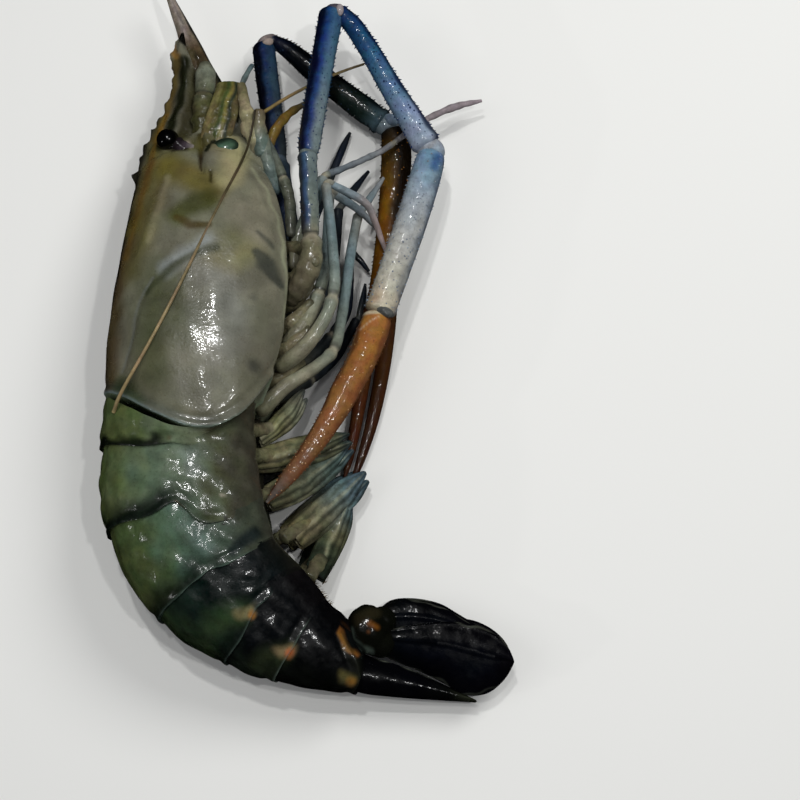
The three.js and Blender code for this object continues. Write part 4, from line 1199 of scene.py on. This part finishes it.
def makeEye(side, plan):
    sign = 1 if side == "right" else -1
    height = plan["height"][side]
    ball = makeLump((*plan["cornea"], height), (plan["radius"],) * 3, 0, 40)
    heights = [height, height - sign * 0.8, height - sign * 1.4, height - sign * 2.4]
    stops = [(*spot, z, half, half) for spot, z, half in zip(plan["stalk"], heights,
                                                             plan["stalkHalf"])]
    stalk = rollSkin("stalk", tubeRule(stops, {"lumpy": 0.1})[0], 40, 30)
    stalkTint = limbTint(stalk, {"tints": plan["stalkTints"]})
    ballTint = plainTint(plan["ball"], len(ball.data.vertices))
    eye = joinPieces([ball, stalk], f"eye_{side}_ball")
    finish(eye, [f"eye_{side}"], "eye", np.vstack([ballTint, stalkTint]))


for side in ("right", "left"):
    makeEye(side, eyePlan)

scalePlans = {
    "antennal_scale_right": {
        "top": [(-32.6, 49.8), (-31.6, 55.7), (-30.2, 60.8), (-28.8, 65.8), (-27.6, 70.8)],
        "low": [(-23.5, 50), (-22.1, 55.9), (-20.9, 61), (-20.6, 66), (-20.9, 70.8)],
        "heights": [26.4, 27, 27, 26.6, 25.6], "cup": 0.5, "thickness": 1.2,
        "ribs": [(-0.5, 0.16, 0.2), (0.05, 0.16, 0.2), (0.5, 0.18, 0.25)],
        "tints": ["#5c5634", "#57502e", "#54502c", "#4c4826"],
        "stripes": [("#6c6240", -0.7, 0.36, 1, 0.9), ("#3c3814", -0.32, 0.16, 1, 0.9),
                    ("#33401c", 0, 0.3, 1, 0.9), ("#67602e", 0.25, 0.2, 1, 0.9),
                    ("#12221e", 0.55, 0.22, 1, 0.9), ("#50482e", 0.9, 0.3, 0.7, 0.9)],
    },
    "antennal_scale_left": {
        "top": [(-34, 66), (-39.1, 77.8), (-40.1, 84.2), (-41.2, 89.1), (-42.5, 94), (-44.3, 99.5),
                (-46.4, 106.6), (-47.3, 110.5)],
        "low": [(-24.6, 70.5), (-27.6, 76.5), (-31.5, 83.2), (-34, 88.1), (-36.9, 93.4),
                (-40.3, 99.5), (-44.2, 106.4), (-46.7, 110.7)],
        "heights": [12.8, 13, 13.6, 14, 14.2, 14.4, 14.5, 14.6], "cup": 0.8, "thickness": 1.2,
        "ribs": [(0.2, 0.16, 0.5)],
        "tints": ["#38301c", "#3f3620", "#4c422c", "#6f655a", "#837a6e", "#6a625a"],
        "stripes": [("#10140e", 1, 0.4, 0.7, 0.95), ("#2c281a", 0.2, 0.6, 0.7, 0.7, -0.1, 0.35),
                    ("#877e78", -0.1, 0.5, 0.7, 0.8, 0.5, 1.2)],
    },
}
for node, plan in scalePlans.items():
    rule = sheetRule(plan["top"], plan["low"], plan["heights"], plan["thickness"], plan["cup"],
                     ribs=plan["ribs"])
    piece = rollSkin(node + "_blade", rule, 100, 60, 0.08)
    finish(piece, [node], "feeler", limbTint(piece, plan))

# The jointed root of the right feeler, with the stub beside it.
rootPlan = {
    "tubes": [
        ([(-15, 47.1, 25.6, 2.4, 2.2), (-16.2, 53.1, 27.6, 2.9, 2.4),
          (-17.8, 57.5, 27.8, 2.6, 2.2), (-19.1, 62.2, 27.4, 2.1, 1.8),
          (-19.9, 66.3, 27, 1.7, 1.5), (-20.6, 70.1, 26.6, 1.3, 1.3)],
         ["#6c6a54", "#8f886c", "#7c7458", "#8a8064", "#6a6448", "#565238"]),
        ([(-13.6, 46.3, 25.8, 2.2, 2.2), (-14.6, 52.1, 28, 2.6, 2.3), (-14.9, 56.2, 29, 2.2, 2),
          (-14.6, 60.2, 29.8, 1.6, 1.5)],
         ["#4c5a54", "#56645c", "#746e58", "#4c4430"]),
        ([(-9.4, 36, 22, 1.6, 1.8), (-11.6, 42.4, 25, 2, 2), (-13, 48.4, 26.6, 2, 1.9),
          (-13.4, 53.4, 27, 1.4, 1.3)],
         ["#3c4a4c", "#5c6a66", "#626a60", "#4c4c3c"]),
        ([(-20.9, 68.1, 26.6, 0.9, 0.9), (-19.2, 73, 26, 0.8, 0.8), (-17.6, 77.4, 24, 0.6, 0.6)],
         ["#4a5452", "#55625f", "#3c4a54"]),
    ],
    "lumps": [((-17.6, 55, 28), (2.8, 3.4, 1.9), "#857c60")],
}


def makeFeelerRoot(plan):
    parts, tints = [], []
    for stops, codes in plan["tubes"]:
        parts.append(rollSkin("tube", tubeRule(stops, {"lumpy": 0.12})[0], 60, 30))
        tints.append(limbTint(parts[-1], {"tints": codes}))
    for middle, half, color in plan["lumps"]:
        parts.append(makeLump(middle, half))
        tints.append(plainTint(color, len(parts[-1].data.vertices)))
    piece = joinPieces(parts, "antenna_base_right_knobs")
    finish(piece, ["antenna_base_right"], "feeler", np.vstack(tints))


makeFeelerRoot(rootPlan)

# The wet dark hollow beside the right eye: middle, half sizes, turn, colour and strokes.
lensPlan = {
    "lump": ((-24.4, 48.2, 29), (4.1, 3, 1.6), 12),
    "base": "#1a241b",
    "strokes": [("#46604e", [(-25, 47.4), (-23.2, 48.2)], 2.8, 0.8, 0.85)],
}
lens = makeLump(*lensPlan["lump"])
lens.name = lens.data.name = "socket_lens"
lensTint = plainTint(lensPlan["base"], len(lens.data.vertices))
finish(lens, [], "eye", brush(pointsOf(lens), lensTint, lensPlan["strokes"]))

print("tail fan")

fanPlan = {
    "outerTop": [(20.6, -92.6), (22.6, -91.4), (25.5, -90.6), (30, -89.7), (35.6, -89),
                 (41.3, -88.7), (48.6, -89.7), (53.9, -92.4), (57.2, -95.8), (58.9, -99.6)],
    "outerLow": [(20.4, -96.4), (22.4, -98), (25.5, -99.6), (31.1, -101.8), (35.3, -103.7),
                 (39.7, -106), (45.3, -108.9), (51.4, -108.4), (56.2, -104.6), (58.9, -100.4)],
    "innerTop": [(20.1, -86.4), (24.3, -83.2), (30.5, -82.6), (38.2, -84.1), (43.4, -87),
                 (49.2, -90.6)],
    "innerLow": [(19.8, -90.5), (26.3, -91.6), (32.5, -92), (38.1, -92.6), (43.4, -92.8),
                 (49.4, -91.4)],
    "sides": {
        "right": {"lumps": [((17.6, -91, 13), (6.1, 7, 5)), ((21.6, -88.4, 12), (4.4, 4, 3.8)),
                            ((21, -94.6, 12), (4.8, 4.2, 3.4))],
                  "outer": 11.4, "inner": 10.6, "shift": 0, "tilt": -1.2, "cup": 1.4},
        "left": {"lumps": [((17.9, -90, 4.2), (5.6, 7, 3.9))], "outer": 2.6, "inner": 5.2,
                 "shift": 2.5, "tilt": 0.3, "cup": 0.3},
    },
    "telsonTop": [(12.6, -95.6), (17.9, -98), (24.1, -99.8), (31.1, -102.2), (37.3, -104.9),
                  (43.3, -107.6), (48.4, -110.1)],
    "telsonLow": [(12.6, -107.6), (17.9, -108.7), (24.1, -109.3), (31.1, -109.8), (37.3, -110.1),
                  (43.3, -110.4), (48.6, -110.6)],
    "telsonHeights": [10.6, 9.6, 8.8, 7.9, 7, 6.1, 5],
    "baseVoxel": 0.3,
    "base": "#090a06",
    "baseStrokes": [
        ("#221e12", [(15.6, -88.6), (19.6, -86.6)], 3, 0.8, 0.7),
        ("#465048", [(12.8, -91), (13.6, -94), (16, -96.4), (19, -97.4)], 1.5, 1, 0.85),
        ("#6a3c12", [(18.8, -90), (21, -91)], 1.5, 1, 0.85),
        ("#4c2c10", [(18.4, -92.4)], 1, 1, 0.85),
        ("#020202", [(12.4, -90), (13.6, -94), (17, -97)], 0.8, 0.8, 0.85),
    ],
    "bladePaint": {
        "tints": ["#0a0a07", "#030406", "#020204", "#030306", "#060508"],
        "stripes": [("#3e4038", -1, 0.06, 0.8, 0.7), ("#2c2e28", 1, 0.06, 0.8, 0.6),
                    ("#05080f", 0.1, 0.7, 1, 0.5, 0.2, 0.8)],
    },
    "telsonPaint": {
        "tints": ["#08080a", "#030305", "#030306", "#060706", "#2c2e22"],
        "stripes": [("#50544a", -1, 0.1, 0.6, 0.8)],
    },
}


def makeFan(side, plan):
    form = plan["sides"][side]
    aside = np.array([0, form["shift"]])
    base = joinPieces([makeLump(middle, half, 0, 48) for middle, half in form["lumps"]], "base")
    fuse(base, plan["baseVoxel"], 24)
    points = pointsOf(base)
    points += normalsOf(base) * (0.14 * drift(points, 5, 12))[:, None]
    points[:, 2] = np.maximum(points[:, 2], tableGap)
    setPoints(base, points)
    heights = np.full(10, form["outer"]) - np.arange(10) * 0.1
    rule = sheetRule(plan["outerTop"] + aside, plan["outerLow"] + aside, heights, 1.5,
                     form["cup"], form["tilt"], [(-0.25, 0.06, 0.4), (-0.93, 0.06, 0.3)])
    blade = rollSkin("blade", rule, 130, 80, 0.06)
    points = pointsOf(base)
    baseTint = brush(points, plainTint(plan["base"], len(points)), plan["baseStrokes"])
    tint = np.vstack([baseTint, limbTint(blade, plan["bladePaint"])])
    piece = joinPieces([base, blade], f"uropod_{side}_outer_shell")
    finish(piece, [f"uropod_{side}_outer"], "fan", tint)
    rule = sheetRule(plan["innerTop"] + aside * 0.6, plan["innerLow"] + aside * 0.6,
                     np.full(6, form["inner"]), 1.3, 0.5, ribs=[(0, 0.1, 0.5)])
    piece = rollSkin(f"uropod_{side}_inner_shell", rule, 90, 50, 0.06)
    finish(piece, [f"uropod_{side}_inner"], "fan", limbTint(piece, plan["bladePaint"]))


def makeTelson(plan):
    rule = sheetRule(plan["telsonTop"], plan["telsonLow"], plan["telsonHeights"], 5, 1.6,
                     ribs=[(-0.96, 0.06, 0.3)])
    telson = rollSkin("telson_shell", rule, 100, 60, 0.04)
    finish(telson, ["telson"], "fan", limbTint(telson, plan["telsonPaint"]))


for side in fanPlan["sides"]:
    makeFan(side, fanPlan)
makeTelson(fanPlan)

print("swimmerets")

# Each swimmeret: its root on the belly, the two edges of its leaf and the height along it.
swimmeretPlans = [
    {"root": (-14.8, -35.4, 21), "top": [(-14.4, -34.8), (-11.3, -31), (-7.5, -26.5),
                                         (-4.1, -22.6), (-1.5, -20.8)],
     "low": [(-12.4, -39.3), (-8.2, -35), (-4.8, -31.5), (-2.3, -27), (-0.7, -21.2)],
     "heights": [18, 15, 13.6, 12.6, 12.4], "tints": ["#7c7a60", "#74714f", "#7e7f68", "#96988a"]},
    {"root": (-14.4, -42.6, 20), "top": [(-14.9, -40.6), (-9, -37.8), (-2, -35.4), (5.1, -33.9),
                                         (12, -34)],
     "low": [(-14.2, -46.4), (-7.5, -45), (-0.5, -42.6), (6.4, -39.4), (12.6, -34.6)],
     "heights": [18, 16, 14.4, 13, 12.6], "tints": ["#625f42", "#6c684a", "#62644a", "#4c5446"]},
    {"root": (-11.6, -54, 19.4), "top": [(-12.3, -51.2), (-6.1, -46.4), (0.8, -41.6), (7.1, -37.4),
                                         (12, -35.4)],
     "low": [(-9.4, -57.6), (-2.6, -54), (3.9, -48.6), (9.2, -42.6), (12.9, -36)],
     "heights": [18, 14, 11, 9.6, 9], "tints": ["#5c5a3e", "#646650", "#52645f", "#3c5058"]},
    {"root": (-4.4, -65, 18), "top": [(-5.4, -62.4), (-0.6, -56.6), (4.9, -51.4), (10.6, -46.6),
                                      (16.4, -44.5)],
     "low": [(-0.9, -68.6), (5, -63), (10.6, -56.6), (14.8, -51.2), (17.4, -45.2)],
     "heights": [17, 13, 11, 9.6, 9], "tints": ["#605a3c", "#64634c", "#506468", "#465a64"]},
    {"root": (2.4, -75.4, 17), "top": [(0.2, -73.5), (2.3, -67.1), (4.9, -60.9), (7.9, -55.6),
                                       (11.4, -51.4)],
     "low": [(5.5, -77.9), (8.3, -71.4), (11, -64.4), (12.6, -57.9), (12.4, -51.8)],
     "heights": [16, 12, 9.6, 8.6, 8.2],
     "tints": ["#101814", "#2c3426", "#5a5a40", "#4c5c5c", "#34484f"]},
]
leafStripes = [("#171a10", -1, 0.24, 1, 0.75), ("#171a12", 1, 0.34, 1, 0.75),
               ("#2c3426", -0.4, 0.24, 1, 0.5), ("#8a8a6e", 0.14, 0.24, 1, 0.5),
               ("#181c14", 0.5, 0.24, 1, 0.75), ("#26343c", 0, 2.4, 0.3, 0.6, 0.9, 1.2)]


def makeSwimmeret(side, number, plan):
    right = side == "right"
    aside = np.array([0, 0] if right else [-3, 1.6])
    heights = [z if right else max(1.4, z * 0.62 - 5.2) for z in plan["heights"]]
    top, low = np.array(plan["top"]) + aside, np.array(plan["low"]) + aside
    paint = {"tints": plan["tints"], "stripes": leafStripes}
    ribs = [(-0.9, 0.08, 0.15), (0.25, 0.16, 0.25)]
    first = rollSkin("leaf", sheetRule(top, low, heights, 0.9, 0.9, ribs=ribs), 70, 46, 0.05)
    # The second leaf lies under the first, turned towards the tail.
    slide = np.linspace(0, 1, len(top))[:, None] * (1.2, -1.6) * (1 if right else 0.4)
    under = [max(0.8, z - 1.6) for z in heights]
    second = rollSkin("leaf", sheetRule(top * 0.92 + low * 0.08 + slide - (0.4, 0.6),
                                        low + slide - (0.4, 0.6), under, 0.8, 0.6, ribs=ribs),
                      70, 46, 0.05)
    x, y, z = plan["root"]
    root = (x + aside[0], y + aside[1], z if right else max(2.4, z * 0.62 - 5.2))
    knee = (*((top[1] + low[1]) / 2), heights[1])
    middle = np.add(root, knee) / 2
    stalk = rollSkin("stalk", tubeRule([(*root, 2, 1.8), (*middle, 2.1, 1.3), (*knee, 1.5, 0.8)],
                                       {"reachIn": 3, "lumpy": 0.1})[0], 50, 30)
    tints = [limbTint(first, paint), limbTint(second, paint),
             limbTint(stalk, {"tints": ["#4a4836", "#5c5842", plan["tints"][0]]})]
    piece = joinPieces([first, second, stalk], f"swimmeret_{side}_{number}_blades")
    finish(piece, [f"swimmeret_{side}_{number}"], "blade", np.vstack(tints))


for side in ("right", "left"):
    for number, plan in enumerate(swimmeretPlans, 1):
        makeSwimmeret(side, number, plan)

print("bristles")

# Fringes of stiff hairs: where each runs, its height, how long the hairs are and their way.
hairColor = "#5a4a2c"
fringePlans = [
    {"line": [(2.6, -77.2), (4.9, -80.6), (6.9, -83.1), (8.8, -85.6)], "height": 13.4, "long": 1.5,
     "way": (0.9, 0.3, 0.1), "count": 44, "slot": "tail_shell"},
    {"line": [(6.4, -71.2), (6.2, -74.6), (5.4, -78.2)], "height": 12, "long": 1.4,
     "way": (0.9, 0.3, 0.1), "count": 34, "slot": "swimmeret"},
]


def makeFringe(number, plan):
    draw = np.random.RandomState(90 + number)
    share = np.sort(draw.rand(plan["count"]))
    roots = splineThrough(plan["line"])(share)
    spots = np.column_stack([roots, plan["height"] + draw.normal(0, 0.5, len(share))])
    ways = np.array(plan["way"]) + draw.normal(0, 0.22, (len(share), 3))
    corners, faces = spineShape
    hair = corners * (0.13, 0.13, 1), faces
    sizes = plan["long"] * draw.uniform(0.5, 1.1, len(share))
    scatter(f"fringe_{number}", hair, spots, ways, sizes, plainTint(hairColor, len(share)),
            "bristle")


for number, plan in enumerate(fringePlans, 1):
    makeFringe(number, plan)

print("stage")

stagePlan = {
    "floor": 1600,
    "floorColor": "#e2e2de",
    "elevation": 75,
    "distance": 480,
    "target": (26.88, -20.8),
    "lens": 72,
    "sky": "#f4f6ff",
    "skyLight": 0.2,
    # Lamps: the way to each, its distance and size, its power and whether it makes glints.
    "lamps": {
        "key_softbox": ((0.55, 0.45, 0.8), 900, 420, 4.0, False),
        "top_lamp": ((-0.08, 0.26, 0.95), 1000, 44, 1.8, True),
        "tail_lamp": ((-0.06, 0.02, 0.998), 1000, 44, 1.0, True),
        "fan_lamp": ((0.32, -0.12, 0.93), 1000, 40, 1.4, True),
        "back_lamp": ((-0.86, -0.34, 0.4), 1000, 30, 0.5, True),
        "fill_softbox": ((-0.7, -0.2, 0.8), 1000, 600, 1.2, False),
    },
}


def makeFloor(plan):
    deselect()
    bpy.ops.mesh.primitive_plane_add(size=plan["floor"] * mm)
    floor = bpy.context.object
    floor.name = "floor"
    material, tree, surface = newMaterial("matt_pale_table")
    surface.inputs["Base Color"].default_value = rgba(plan["floorColor"])
    surface.inputs["Roughness"].default_value = 0.5
    floor.data.materials.append(material)
    floor.visible_glossy = False  # the table's glare would turn the black flanks grey


def addLight(name, way, distance, size, power, glints):
    data = bpy.data.lights.new(name, "AREA")
    data.shape = "DISK"
    data.size = size * mm
    data.energy = power
    light = bpy.data.objects.new(name, data)
    bpy.context.scene.collection.objects.link(light)
    light.visible_glossy = glints
    light.location = Vector(way).normalized() * distance * mm
    light.rotation_euler = light.location.to_track_quat("Z", "Y").to_euler()


def makeStudio(plan):
    tilt = math.radians(plan["elevation"])
    target = Vector((*plan["target"], 0)) * mm
    data = bpy.data.cameras.new("camera")
    data.lens = plan["lens"]
    data.sensor_width = 36
    camera = bpy.data.objects.new("camera", data)
    bpy.context.scene.collection.objects.link(camera)
    away = Vector((0, -math.cos(tilt), math.sin(tilt)))
    camera.location = target + away * plan["distance"] * mm
    camera.rotation_euler = away.to_track_quat("Z", "Y").to_euler()
    bpy.context.scene.camera = camera
    world = bpy.data.worlds.new("soft_room")
    bpy.context.scene.world = world
    world.use_nodes = True
    sky = world.node_tree.nodes["Background"]
    sky.inputs["Color"].default_value = rgba(plan["sky"])
    sky.inputs["Strength"].default_value = plan["skyLight"]
    world.cycles_visibility.glossy = False  # keeps the black shell black between its glints
    for name, lamp in plan["lamps"].items():
        addLight(name, *lamp)
    bpy.context.scene.view_settings.view_transform = "Standard"


makeFloor(stagePlan)
makeStudio(stagePlan)

bpy.context.view_layer.update()
